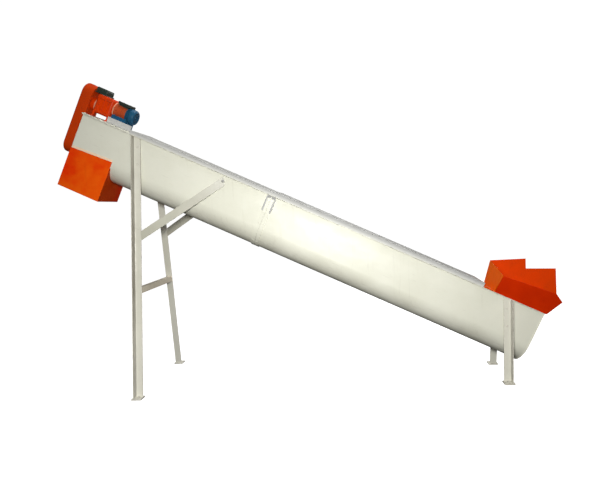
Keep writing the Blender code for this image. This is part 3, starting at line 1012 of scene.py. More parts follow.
@dataclass
class Trough:
    """Two U shaped sections, the bands at their seam, the end plates and their welds."""

    fold: float = 0.004  # inner radius of the flanges' bend
    rim: float = 0.004  # from a flange's tip to the next points
    side_points: tuple[float, float] = (-0.13, -0.24)
    arc_steps: int = 56
    outlet_steps: int = 18  # arc steps from the bottom line to the outlet's long edges
    outlet: tuple[float, float] = (-0.455, -0.125)
    band_width: float = 0.035
    band_sheet: float = 0.006
    band_edge: float = 0.0004
    band_flat: float = 0.006  # from the band's edge to where its wear ends
    band_wear: float = 0.3
    shadow_line: tuple[float, float] = (-0.045, -0.185)  # run of the painted shadow lines down the sides, at the bands' outer edges
    shadow_line_radius: float = 0.009
    clamp: tuple[float, float] = (-0.062, -0.014)  # run of the clamp plates
    clamp_sheet: float = 0.004
    clamp_inset: float = 0.003
    clamp_edge: float = 0.0008
    side_bolts: tuple[float, ...] = (-0.085, -0.190, -0.295)
    low_bolts: tuple[int, int] = (-135, -45)  # degrees round the bottom
    bolt: float = 0.006
    hole: float = 0.0295
    hole_steps: int = 48
    tail_grow: float = 0.006  # how far the tail plate stands proud of the trough
    plate_wear: float = 0.35
    weld_top: float = -0.040
    weld_size: float = 0.0026

    def wall(self) -> list[Pair]:
        """Return points (y, t) on the inner and outer surface, from the near flange to the far one."""
        near = [((y, TROUGH_TOP), (y, TROUGH_TOP - SHEET)) for y in (-FLANGE_TIP, self.rim - FLANGE_TIP)]
        near += bend(-HALF_WIDTH - self.fold, TROUGH_TOP - SHEET - self.fold, self.fold, SHEET, pi / 2, 0.0)
        near += [((SHEET - HALF_WIDTH, t), (-HALF_WIDTH, t)) for t in self.side_points]
        inner, outer = (arc(0.0, TROUGH_CENTRE, radius, pi, 2 * pi, self.arc_steps)
                        for radius in (HALF_WIDTH - SHEET, HALF_WIDTH))
        return [*near, *zip(inner, outer), *mirrored(near)]

    def section(self, name: str, start: float, end: float, open_bottom: bool) -> None:
        """Build one section of the trough.

        Args:
            name: the CAD node that it stands for.
            start: s of its head end.
            end: s of its tail end.
            open_bottom: whether the outlet is cut in it.
        """
        pairs = self.wall()
        places = stations(start, end, self.outlet if open_bottom else ())
        head, tail = self.outlet

        def keep(row: int, column: int) -> bool:
            """Return whether a cell isn't in the outlet."""
            across = -self.outlet_steps <= column - len(pairs) // 2 < self.outlet_steps
            return not (across and head <= (places[row] + places[row + 1]) / 2 <= tail)

        piece = Piece(name + "_sheet", Slot.CREAM, [name])
        piece.add(along_run(pairs, places, keep if open_bottom else None), CREAM)
        piece.done()

    def round_path(self, radius: float, top: float) -> Corners:
        """Return points (y, t) round the outside of the trough at a radius, from near top to far top."""
        return [(-radius, top), *arc(0.0, TROUGH_CENTRE, radius, pi, 2 * pi, 48), (radius, top)]

    def band(self, name: str, start: float, end: float) -> None:
        """Build one of the bands at the seam, with the dark tubes of painted shadow at its outer edge, its
        clamp plates and bolts.

        Args:
            name: the CAD node that it stands for.
            start: s of its head edge.
            end: s of its tail edge.
        """
        low = HALF_WIDTH + GAP
        high = low + self.band_sheet
        top = TROUGH_TOP - SHEET - 2 * GAP
        edge, flat, worn = self.band_edge, self.band_flat, self.band_wear
        layers = [(start, low, worn), (start, high - edge, worn), (start + edge, high, worn),
                  (start + flat, high, 0.0)]
        layers += [(start + end - s, radius, wear) for s, radius, wear in reversed(layers)]
        lines = [[(s, y, t, wear) for y, t in self.round_path(radius, top)] for s, radius, wear in layers]
        piece = Piece(name + "_bar", Slot.CREAM, [name])
        piece.add(loft(list(zip(*lines))), CREAM)
        middle = (start + end) / 2
        outer_edge = start if end < JOINT_S else end
        for side in Side:
            along = (0.0, side.value, 0.0)
            # dark grey tube along the band's outer edge: a painted shadow line
            shadow_line = [(outer_edge, side.value * low, t) for t in self.shadow_line]
            piece.add(tube(shadow_line, self.shadow_line_radius), TRAY_GREY)
            y = side.span(high, high + self.clamp_sheet)
            plate_start = (start + self.clamp_inset, y[0], self.clamp[0])
            plate_end = (end - self.clamp_inset, y[1], self.clamp[1])
            piece.add(block(plate_start, plate_end, self.clamp_edge), CLAMP_GREY)
            spots = [(middle, side.value * high, t) for t in self.side_bolts]
            piece.bolts(spots, along, self.bolt, CREAM, washer=False)
        for turn in self.low_bolts:
            across, up = cos(radians(turn)), sin(radians(turn))
            spot = (middle, high * across, TROUGH_CENTRE + high * up)
            piece.bolts([spot], (0.0, across, up), self.bolt, CREAM, washer=False)
        piece.done()

    def end_plate(self, name: str, outer_face: float, grow: float, side: int) -> None:
        """Build an end plate with its hole, and at the tail the weld round it.

        Args:
            name: the CAD node that it stands for.
            outer_face: s of its outer face.
            grow: how far it stands proud of the trough.
            side: -1 at the head and 1 at the tail.
        """
        inner_face = outer_face - side * END_PLATE
        outline = self.round_path(HALF_WIDTH + grow, TROUGH_TOP)
        hole = arc(0.0, SHAFT_T, self.hole, pi / 2, pi / 2 - 2 * pi, self.hole_steps)[:-1]
        body = bmesh.new()
        wear = wear_layer(body)
        rims = [[[body.verts.new((s, y, t)) for y, t in loop] for loop in (outline, hole)]
                for s in (inner_face, outer_face)]
        for loops in rims:
            edges = [body.edges.new((vert, loop[k - 1])) for loop in loops for k, vert in enumerate(loop)]
            bmesh.ops.triangle_fill(body, use_beauty=True, edges=edges)
        for near, far in zip(*rims):
            for k in range(len(near)):
                body.faces.new((near[k - 1], near[k], far[k], far[k - 1]))
        for vert in body.verts:
            vert[wear] = self.plate_wear
        bmesh.ops.recalc_face_normals(body, faces=body.faces)
        piece = Piece(name + "_sheet", Slot.CREAM, [name])
        piece.add(body, CREAM)
        if side > 0:
            seam = self.round_path(HALF_WIDTH + 0.0006, self.weld_top)
            piece.weld([(inner_face - side * 0.0008, y, t) for y, t in seam], self.weld_size, CREAM)
        piece.done()

    def build(self) -> None:
        """Build every piece of the trough."""
        self.section("trough_upper", HEAD_S + END_PLATE + GAP, JOINT_S - GAP, True)
        self.section("trough_lower", JOINT_S + GAP, TAIL_S - END_PLATE - GAP, False)
        self.band("joint_band_upper", JOINT_S - self.band_width, JOINT_S - GAP)
        self.band("joint_band_lower", JOINT_S + GAP, JOINT_S + self.band_width)
        self.end_plate("head_end_plate", HEAD_S, 0.0, -1)
        self.end_plate("tail_end_plate", TAIL_S, self.tail_grow, 1)


@dataclass
class Lids:
    """Folded sheet lids over the trough, with the screws along their edges."""

    start: float = -0.020
    step: float = 0.006  # how much higher the lower lid lies
    end: float = 3.290
    sheet: float = 0.003
    fold: float = 0.003
    rim: float = 0.004
    flat: float = 0.09  # y of the extra points across the top
    screw: float = 0.005
    screw_pitch: float = 0.42
    screw_margin: float = 0.08

    def lid(self, name: str, start: float, end: float, top: float) -> None:
        """Build one lid.

        Args:
            name: the CAD node that it stands for.
            start: s of its head end.
            end: s of its tail end.
            top: t of its upper face.
        """
        foot = TROUGH_TOP + GAP
        reach = self.fold + self.sheet
        near = [((-FLANGE_TIP, t), (self.sheet - FLANGE_TIP, t)) for t in (foot, foot + self.rim)]
        near += bend(reach - FLANGE_TIP, top - reach, self.fold, self.sheet, pi, pi / 2)
        near.append(((-self.flat, top), (-self.flat, top - self.sheet)))
        piece = Piece(name + "_sheet", Slot.CREAM, [name])
        piece.add(along_run([*near, *mirrored(near)], stations(start, end)), SHADED_LID_GREY)
        run = end - start - 2 * self.screw_margin
        count = max(2, round(run / self.screw_pitch))
        for side in Side:
            spots = [(start + self.screw_margin + run * k / count, side.value * FLANGE_TIP, (foot + top) / 2)
                     for k in range(count + 1)]
            piece.bolts(spots, (0.0, side.value, 0.0), self.screw, SHADED_LID_GREY, washer=False)
        piece.done()

    def build(self) -> None:
        """Build both lids."""
        self.lid("lid_upper", self.start, JOINT_S - GAP, 0.0)
        self.lid("lid_lower", JOINT_S + GAP, self.end, self.step)


@dataclass
class Screw:
    """The shaft and the flight round it."""

    shaft_radius: float = 0.038
    journal_radius: float = 0.0275
    journal_reach: tuple[float, float] = (-0.515 + GAP, TAIL_S + 0.060)
    shoulder_gap: float = 0.012  # from each end plate's inner face to the shaft's shoulder
    chamfer: float = 0.002
    flight_radius: float = 0.158
    flight_sheet: float = 0.005
    flight_start: float = -0.380
    flight_lip: float = 0.006
    pitch: float = 0.300
    turns: int = 14
    steps: int = 48
    weld_steps: int = 36
    weld_size: float = 0.0035
    weld_ripple: float = 0.1

    def spot(self, s: float, radius: float) -> Point:
        """Return the point of the flight's middle surface at s and a radius."""
        turn = 2 * pi * (s - self.flight_start) / self.pitch
        return s, -radius * sin(turn), SHAFT_T + radius * cos(turn)

    def shaft(self) -> None:
        """Build the shaft with its journals."""
        head, tail = self.journal_reach
        low = HEAD_S + END_PLATE + self.shoulder_gap
        high = TAIL_S - END_PLATE - self.shoulder_gap
        small, large, chamfer = self.journal_radius, self.shaft_radius, self.chamfer
        profile = [(0.0, tail), (small - chamfer, tail), (small, tail - chamfer), (small, high),
                   (large - chamfer, high), (large, high - chamfer), (large, low + chamfer),
                   (large - chamfer, low), (small, low), (small, head), (0.0, head)]
        piece = Piece("screw_shaft_bar", Slot.STEEL, ["screw_shaft"])
        piece.add(lathe(profile), STEEL, SHAFT_AXIS)
        piece.done()

    def flight(self) -> None:
        """Build the flight as one helical sheet, with the welds at its root."""
        half = self.flight_sheet / 2
        radii = [self.shaft_radius + 0.0005, self.flight_radius - self.flight_lip, self.flight_radius]
        rows = [[self.spot(self.flight_start + self.pitch * k / self.steps, radius) for radius in radii]
                for k in range(self.steps * self.turns)]
        front, back = ([[(s + shift, y, t) for s, y, t in row] for row in rows] for shift in (-half, half))
        sections = [f"screw_flight_{word}" for word in ("head", "middle", "tail")]
        piece = Piece("screw_flight_sheet", Slot.STEEL, sections)
        piece.add(sheet(front, back), STEEL)
        root = [self.spot(self.flight_start + self.pitch * k / self.weld_steps, self.shaft_radius + 0.001)
                for k in range(self.weld_steps * self.turns - 3)]
        for shift in (-half, half):
            path = [(s + shift, y, t) for s, y, t in root]
            piece.add(tube(path, self.weld_size, WELD_SIDES, self.weld_ripple), STEEL)
        piece.done()

    def build(self) -> None:
        """Build the shaft and the flight."""
        self.shaft()
        self.flight()


@dataclass
class Bearings:
    """A flanged bearing on the outer face of each end plate."""

    bore: float = 0.0278
    boss: float = 0.046
    flange: float = 0.075
    flange_thick: float = 0.014
    length: float = 0.034
    bolt: float = 0.010
    bolt_circle: float = 0.061
    nipple_s: float = 0.025

    def bearing(self, name: str, face: float, side: int) -> None:
        """Build one bearing.

        Args:
            name: the CAD node that it stands for.
            face: s of the end plate's outer face.
            side: -1 at the head and 1 at the tail.
        """
        steps = [(self.bore, self.length), (0.033, self.length), (0.033, 0.031), (0.037, 0.031),
                 (0.037, self.length), (0.0440, self.length), (self.boss, 0.032), (0.0475, 0.022),
                 (0.0505, 0.0165), (0.056, self.flange_thick), (self.flange - 0.002, self.flange_thick),
                 (self.flange, 0.012), (self.flange, GAP), (self.bore, GAP)]
        body = lathe([(radius, face + side * depth) for radius, depth in steps], ring=True)
        piece = Piece(name + "_casting", Slot.IRON, [name])
        piece.add(body, IRON, SHAFT_AXIS)
        bolts = arc(0.0, SHAFT_T, self.bolt_circle, pi / 4, 7 * pi / 4, 3)
        piece.bolts([(face + side * self.flange_thick, y, t) for y, t in bolts], (side, 0.0, 0.0), self.bolt)
        nipple = lathe([(0.0, 0.012), (0.0025, 0.012), (0.0035, 0.009), (0.002, 0.007), (0.004, 0.005),
                        (0.004, 0.0), (0.0, 0.0)], 12)
        piece.add(nipple, ZINC, looking((face + side * self.nipple_s, 0.0, SHAFT_T + self.boss), UP))
        piece.done()

    def build(self) -> None:
        """Build both bearings."""
        self.bearing("head_bearing", HEAD_S, -1)
        self.bearing("tail_bearing", TAIL_S, 1)


@dataclass
class Drive:
    """Base plate, tray, gear unit, adaptor and motor."""

    base_low: float = TROUGH_TOP + GAP
    base_top: float = TROUGH_TOP + GAP + 0.008
    base_end: float = -0.024
    base_bolts: tuple[float, ...] = (-0.455, -0.305, -0.175, -0.045)
    plate_bolt: float = 0.008  # of the base plate and the tray
    bolt_inset: float = 0.012  # from the base plate's long edges
    tray_run: tuple[float, float] = (-0.290, -0.060)
    tray_half: float = 0.120
    tray_sheet: float = 0.004
    tray_fold: float = 0.003  # inner radius of its bend
    guard: float = -0.515  # s of the chain guard's inner face
    output_t: float = 0.078  # axis of the output neck
    output_ring: float = -0.482
    housing_start: float = -0.472
    motor_ring: float = -0.308
    adaptor: float = -0.298
    frame: float = -0.190
    cowl: float = -0.145
    end: float = -0.105
    cover_end: float = -0.395
    cover_ribs: int = 7
    half_width: float = 0.078
    housing_low: float = 0.012
    housing_top: float = 0.184
    foot: tuple[float, float] = (0.018, 0.008)  # length and thickness of the gear unit's feet
    foot_tip: float = 0.096
    foot_bolt: float = 0.006
    foot_bolt_y: float = 0.0845
    housing_edge: float = 0.022  # rounding of the housing's edges
    joint_t: float = 0.157  # top of the rails at the housing's joint
    joint_bolt: float = 0.005
    cover_half: float = 0.068
    dome_half: float = 0.061
    cover_rib_half: float = 0.0625
    screw: float = 0.004  # of the cover, the fan cowl and the terminal box
    screw_y: float = 0.0645  # of the cover's screws
    cover_top: float = 0.238
    radius: float = 0.066  # over the motor's fins
    fins: int = 30
    facets: int = 64  # round the large turned parts
    output_radius: float = 0.064
    flange_radius: float = 0.068
    flange_bolts: int = 8
    flange_bolt: float = 0.003
    flange_circle: float = 0.065
    adaptor_ribs: int = 6
    grille: tuple[float, ...] = (0.011, 0.020, 0.029, 0.038, 0.046)
    grille_bars: int = 8
    rest: tuple[float, float] = (-0.285, -0.150)  # run of the motor's foot
    rest_drop: float = 0.044
    rest_half: float = 0.085
    rest_bolt: float = 0.007
    rest_bolt_y: float = 0.068
    box: tuple[float, float] = (-0.289, -0.165)  # run of the terminal box
    box_half: float = 0.043
    lid_half: float = 0.045
    pedestal_half: float = 0.030

    def base(self) -> None:
        """Build the base plate with its bolts."""
        piece = Piece("drive_base_sheet", Slot.CREAM, ["drive_base_plate"])
        low, high = (HEAD_S, -FLANGE_TIP, self.base_low), (self.base_end, FLANGE_TIP, self.base_top)
        piece.add(block(low, high, 0.001), CREAM)
        for side in Side:
            y = side.value * (FLANGE_TIP - self.bolt_inset)
            piece.bolts([(s, y, self.base_top) for s in self.base_bolts], UP, self.plate_bolt, CREAM)
        piece.done()

    def tray(self) -> None:
        """Build the bent tray under the motor, with its bolts."""
        low_t = self.base_top + GAP
        half, thick, fold = self.tray_half, self.tray_sheet, self.tray_fold
        reach = fold + thick
        pairs = [((-half, t), (thick - half, t)) for t in (0.029, 0.025)]
        pairs += bend(reach - half, low_t + reach, fold, thick, pi, 1.5 * pi)
        pairs += [((y, low_t), (y, low_t + thick)) for y in (-0.05, 0.05, half - thick, half)]
        piece = Piece("motor_tray_sheet", Slot.CREAM, ["motor_tray"])
        piece.add(along_run(pairs, stations(*self.tray_run)), TRAY_GREY)
        spots = [(s, y, low_t + thick) for s in (-0.280, -0.075) for y in (-0.100, 0.100)]
        piece.bolts(spots, UP, self.plate_bolt)
        piece.done()

    def feet(self, piece: Piece) -> None:
        """Add the gear unit's three cast feet with their bolts."""
        low_t = self.base_top + GAP
        length, thick = self.foot
        head, tail = self.housing_start + 0.002, self.motor_ring - 0.022
        for s, side in ((head, Side.NEAR), (tail, Side.NEAR), (tail, Side.FAR)):
            inner = self.half_width - 0.026
            boss, sole = (self.half_width - 0.004, self.housing_low + 0.026), (self.foot_tip, low_t + thick)
            for outer, top in (boss, sole):
                y = side.span(inner, outer)
                piece.add(block((s, y[0], low_t), (s + length, y[1], top), 0.003), DRIVE_ORANGE)
            spot = (s + length / 2, side.value * self.foot_bolt_y, low_t + thick - 0.0002)
            piece.bolts([spot], UP, self.foot_bolt, DRIVE_ORANGE)

    def housing(self) -> None:
        """Build the gear unit's cast housing with its feet, ribs, plugs and joint."""
        start, end, half = self.housing_start, self.motor_ring - GAP, self.half_width
        piece = Piece("gear_unit_casting", Slot.ORANGE, ["gear_unit_housing"])
        low, high = (start, -half, self.housing_low), (end, half, self.housing_top)
        piece.add(block(low, high, self.housing_edge, 5), DRIVE_ORANGE)
        self.feet(piece)
        rail_low = self.joint_t - 0.011
        for side in Side:
            y = side.span(half - 0.004, half + 0.004)
            for s in (start + 0.040, start + 0.082, start + 0.124):
                rib = block((s - 0.003, y[0], 0.036), (s + 0.003, y[1], rail_low), 0.0015)
                piece.add(rib, DRIVE_ORANGE)
            y = side.span(half - 0.006, half + 0.006)
            rail = block((start + 0.018, y[0], rail_low), (end - 0.018, y[1], self.joint_t), 0.003)
            piece.add(rail, DRIVE_ORANGE)
            out = side.value * (half + 0.001)
            spots = [(start + shift, out, self.joint_t) for shift in (0.030, 0.061, 0.103, 0.134)]
            piece.bolts(spots, UP, self.joint_bolt, DRIVE_ORANGE, washer=False)
            plug = lathe([(0.0, 0.006), (0.008, 0.006), (0.009, 0.004), (0.009, 0.0), (0.0, 0.0)], 6)
            spot = (start + 0.061, side.value * (half - 0.0005), 0.052)
            piece.add(plug, DRIVE_ORANGE, looking(spot, (0.0, side.value, 0.0)))
        piece.done()

    def cover(self) -> None:
        """Build the gear unit's dark cover with its ribs and screws."""
        low_t = self.housing_top + GAP
        rim_t = low_t + 0.009
        start, end = self.guard + 0.003, self.cover_end
        piece = Piece("gear_cover_plate", Slot.GREEN, ["gear_unit_cover"])
        piece.add(block((start, -self.cover_half, low_t), (end, self.cover_half, rim_t), 0.002), GREEN)
        low = (start + 0.004, -self.dome_half, rim_t - 0.002)
        high = (end - 0.006, self.dome_half, self.cover_top - 0.004)
        piece.add(block(low, high, 0.010, 4), GREEN)
        spots = [(s, side.value * self.screw_y, rim_t) for side in Side for s in (start + 0.010, end - 0.010)]
        piece.bolts(spots, UP, self.screw, GREEN, washer=False)
        for k in range(self.cover_ribs):
            s = start + 0.016 + (end - start - 0.032) * k / (self.cover_ribs - 1)
            low = (s - 0.0025, -self.cover_rib_half, rim_t + 0.003)
            high = (s + 0.0025, self.cover_rib_half, self.cover_top)
            piece.add(block(low, high, 0.0018), GREEN)
        piece.done()

    def ring(self, start: float, end: float, radius: float, edge: float) -> Body:
        """A pale flange ring, its paleness partly painted highlight.

        Args:
            start: s of its head face.
            end: s of its tail face.
            radius: its radius.
            edge: its chamfer.

        Returns:
            The part.
        """
        return lathe([(0.0, end), (radius - edge, end), (radius, end - edge), (radius, start + edge),
                      (radius - edge, start), (0.0, start)], self.facets)

    def flanges(self) -> None:
        """Build the output neck with its pale ring, the motor flange and the adaptor."""
        output_axis = Matrix.Translation((0.0, 0.0, self.output_t))
        start, face = self.output_ring, self.guard + GAP
        piece = Piece("gear_output_ring", Slot.FLANGE, ["gear_output_flange"])
        ring = self.ring(start, self.housing_start - GAP, self.output_radius, 0.0012)
        piece.add(ring, PALE, output_axis)
        neck = [(0.0, start), (0.060, start), (0.060, self.guard + 0.004), (0.0585, face), (0.0, face)]
        piece.add(lathe(neck, self.facets), DRIVE_ORANGE, output_axis)
        piece.done()

        end = self.adaptor - GAP
        piece = Piece("motor_flange_ring", Slot.FLANGE, ["motor_flange"])
        piece.add(self.ring(self.motor_ring, end, self.flange_radius, 0.0015), PALE, DRIVE_AXIS)
        for k in range(self.flange_bolts):
            turn = (2 * k + 1) * pi / self.flange_bolts
            spot = (end, self.flange_circle * sin(turn), DRIVE_T + self.flange_circle * cos(turn))
            piece.bolts([spot], (1.0, 0.0, 0.0), self.flange_bolt, PALE, washer=False)
        piece.done()

        start, end = self.adaptor, self.frame - GAP
        bell = [(0.0, end), (0.0545, end), (0.0555, end - 0.001), (0.0565, end - 0.012),
                (0.0585, end - 0.024), (0.0585, end - 0.032), (0.0560, end - 0.034),
                (0.0560, start + 0.020), (0.0610, start + 0.010), (0.0620, start + 0.008),
                (0.0620, start), (0.0, start)]
        piece = Piece("motor_adaptor_casting", Slot.ORANGE, ["motor_adaptor"])
        piece.add(lathe(bell, self.facets), DULL_ORANGE, DRIVE_AXIS)
        for k in range(self.adaptor_ribs):
            rib = block((start + 0.006, -0.003, 0.052), (start + 0.060, 0.003, 0.0610), 0.001)
            turn = (2 * k + 1) * pi / self.adaptor_ribs
            piece.add(rib, DULL_ORANGE, DRIVE_AXIS @ Matrix.Rotation(turn, 4, "X"))
        piece.done()

    def motor(self) -> None:
        """Build the motor's finned frame with its end shields."""
        start, end = self.frame, self.cowl - GAP
        gap_turn = 2 * pi / self.fins
        tooth = ((0.0590, -0.032), (self.radius, -0.017), (self.radius, 0.017), (0.0590, 0.032),
                 (0.0585, gap_turn / 2))
        outline = [(radius * sin(gap_turn * k + shift), radius * cos(gap_turn * k + shift))
                   for k in range(self.fins) for radius, shift in tooth]
        fins_start = start + 0.010
        piece = Piece("motor_frame_casting", Slot.BLUE, ["motor_frame"])
        piece.add(prism(outline, end - 0.006 - fins_start, 0.0, 1, 0.003), BLUE,
                  DRIVE_AXIS @ Matrix.Translation((fins_start, 0, 0)) @ ACROSS)
        shield = [(0.0, start + 0.012), (0.0640, start + 0.012), (0.0655, start + 0.0105),
                  (0.0655, start + 0.006), (0.0600, start + 0.001), (0.0590, start), (0.0, start)]
        rear = [(0.0, end), (0.0620, end), (0.0650, end - 0.003), (0.0650, end - 0.008), (0.0, end - 0.008)]
        for profile in (shield, rear):
            piece.add(lathe(profile, self.facets), BLUE, DRIVE_AXIS)
        piece.done()

    def fan_cowl(self) -> None:
        """Build the fan cowl with its grille, hub and screws."""
        end = self.end
        cowl = [(0.0, end - 0.0060), (0.0475, end - 0.0060), (0.0475, end), (0.0520, end),
                (0.0585, end - 0.0018), (0.0640, end - 0.0070), (0.0665, end - 0.0140),
                (0.0685, end - 0.0340), (0.0690, end - 0.0380), (0.0690, self.cowl), (0.0, self.cowl)]
        piece = Piece("fan_cowl_pressing", Slot.BLUE, ["fan_cowl"])
        piece.add(lathe(cowl, self.facets), BLUE, DRIVE_AXIS)
        for radius in self.grille:
            wire = [(end - 0.0015, y, t) for t, y in arc(0.0, 0.0, radius, 0.0, 2 * pi, 40)[:-1]]
            piece.add(tube(wire, 0.0013, 6, closed=True), BLUE, DRIVE_AXIS)
        for k in range(self.grille_bars):
            turn = 2 * pi * k / self.grille_bars
            bar = [(end - 0.0017, radius * sin(turn), radius * cos(turn)) for radius in (0.004, 0.026, 0.048)]
            piece.add(tube(bar, 0.0014, 6), BLUE, DRIVE_AXIS)
        hub = [(0.0, end - 0.0002), (0.0085, end - 0.0006), (0.0095, end - 0.0020), (0.0095, end - 0.0060),
               (0.0, end - 0.0060)]
        piece.add(lathe(hub, 24), BLUE, DRIVE_AXIS)
        dark = [(0.0, end - 0.0052), (0.0470, end - 0.0052), (0.0470, end - 0.0056), (0.0, end - 0.0056)]
        piece.add(lathe(dark), RUBBER, DRIVE_AXIS)
        for turn in (pi / 3, pi, 5 * pi / 3):
            spot = (self.cowl + 0.008, 0.0688 * sin(turn), DRIVE_T + 0.0688 * cos(turn))
            piece.bolts([spot], (0.0, sin(turn), cos(turn)), self.screw, BLUE, washer=False)
        piece.done()

    def cradle(self) -> None:
        """Build the cradle that the motor lies in."""
        low_t, top_t = self.base_top + self.tray_sheet + 2 * GAP, DRIVE_T - self.rest_drop
        saddle, reach = self.radius + GAP, self.rest_half
        start = atan2(-self.rest_drop, (saddle ** 2 - self.rest_drop ** 2) ** 0.5)
        outline = [(-reach, top_t), (-reach, low_t), (reach, low_t), (reach, top_t),
                   *arc(0.0, DRIVE_T, saddle, start, -pi - start, 24)]
        head, tail = self.rest
        piece = Piece("motor_foot_cradle", Slot.BLUE, ["motor_foot"])
        piece.add(prism(outline, tail - head, 0.002), BLUE, Matrix.Translation((head, 0.0, 0.0)) @ ACROSS)
        ends = (head + 0.016, tail - 0.016)
        spots = [(s, side.value * self.rest_bolt_y, top_t) for side in Side for s in ends]
        piece.bolts(spots, UP, self.rest_bolt, BLUE)
        piece.done()

    def terminal_box(self) -> None:
        """Build the terminal box on its pedestal, with its lid, screws and gland."""
        low_t = DRIVE_T + self.radius + GAP
        lid_t = low_t + 0.022
        start, end = self.box
        piece = Piece("terminal_box_casting", Slot.BLUE, ["terminal_box"])
        half = self.box_half
        # dark green, not the motor's blue: partly painted shade on the motor's top
        piece.add(block((start, -half, low_t), (end, half, low_t + 0.015), 0.003, 3), GREEN)
        low = (start + 0.005, -self.pedestal_half, DRIVE_T + 0.048)
        high = (self.frame - 0.004, self.pedestal_half, low_t + 0.008)
        piece.add(block(low, high, 0.002), GREEN)
        low, high = (start - 0.0015, -self.lid_half, low_t + 0.013), (end + 0.0015, self.lid_half, lid_t)
        piece.add(block(low, high, 0.003, 3), GREEN)
        spots = [(s, y, lid_t) for s in (start + 0.009, end - 0.009) for y in (-0.036, 0.036)]
        piece.bolts(spots, UP, self.screw, GREEN, washer=False)
        gland = lathe([(0.0, 0.016), (0.0035, 0.016), (0.0050, 0.013), (0.0055, 0.007), (0.0055, 0.0),
                       (0.0, 0.0)], 12)
        piece.add(gland, RUBBER, looking(((start + end) / 2, 0.042, low_t + 0.007), (0.0, 1.0, 0.0)))
        piece.done()

    def build(self) -> None:
        """Build every piece of the drive."""
        self.base()
        self.tray()
        self.housing()
        self.cover()
        self.flanges()
        self.motor()
        self.fan_cowl()
        self.cradle()
        self.terminal_box()


@dataclass
class Guard:
    """The oblong sheet guard over the drive chain, in two halves that lap."""

    half_width: float = 0.092
    top: float = 0.236
    inner: float = -0.515
    outer: float = -0.615
    lap: float = -0.560
    arc_steps: int = 28
    screw: float = 0.005
    screw_rows: tuple[float, ...] = (0.120, -0.020, -0.160, -0.300)

    def half(self, layers: Sequence[tuple[float, float]]) -> Body:
        """Loft the guard's outline through layers and close both ends.

        Args:
            layers: s of each layer, and how far its outline is grown.

        Returns:
            The part.
        """
        rows = []
        for s, grow in layers:
            reach = self.half_width + grow
            upper = arc(0.0, self.top - self.half_width, reach, 0.0, pi, self.arc_steps)
            lower = arc(0.0, SHAFT_T, reach, pi, 2 * pi, self.arc_steps)
            rows.append([(s, y, t) for y, t in [*upper, *lower]])
        return wear_folds(loft(rows))

    def build(self) -> None:
        """Build the guard's two halves with the screws that hold them."""
        inner, outer, lap = self.inner, self.outer, self.lap
        back = [(inner - GAP, -0.018), (inner - GAP, -0.012), (inner - GAP, -0.0035),
                (inner - 0.002, -0.0015), (inner - 0.008, -0.0015), (lap - 0.004, -0.0015),
                (lap - 0.010, -0.0015), (lap - 0.010, -0.012)]
        front = [(lap, -0.012), (lap, -0.0006), (lap - 0.0006, 0.0), (lap - 0.0060, 0.0),
                 (outer + 0.016, 0.0), (outer + 0.010, 0.0), (outer + 0.0055, -0.0010),
                 (outer + 0.0022, -0.0035), (outer + 0.0005, -0.0075), (outer, -0.0120), (outer, -0.0180)]
        piece = Piece("chain_guard_sheet", Slot.ORANGE, ["chain_guard"])
        for layers in (back, front):
            piece.add(self.half(layers), GUARD_ORANGE)
        for side in Side:
            spots = [(lap - 0.007, side.value * self.half_width, t) for t in self.screw_rows]
            piece.bolts(spots, (0.0, side.value, 0.0), self.screw, GUARD_ORANGE, washer=False)
        piece.done()


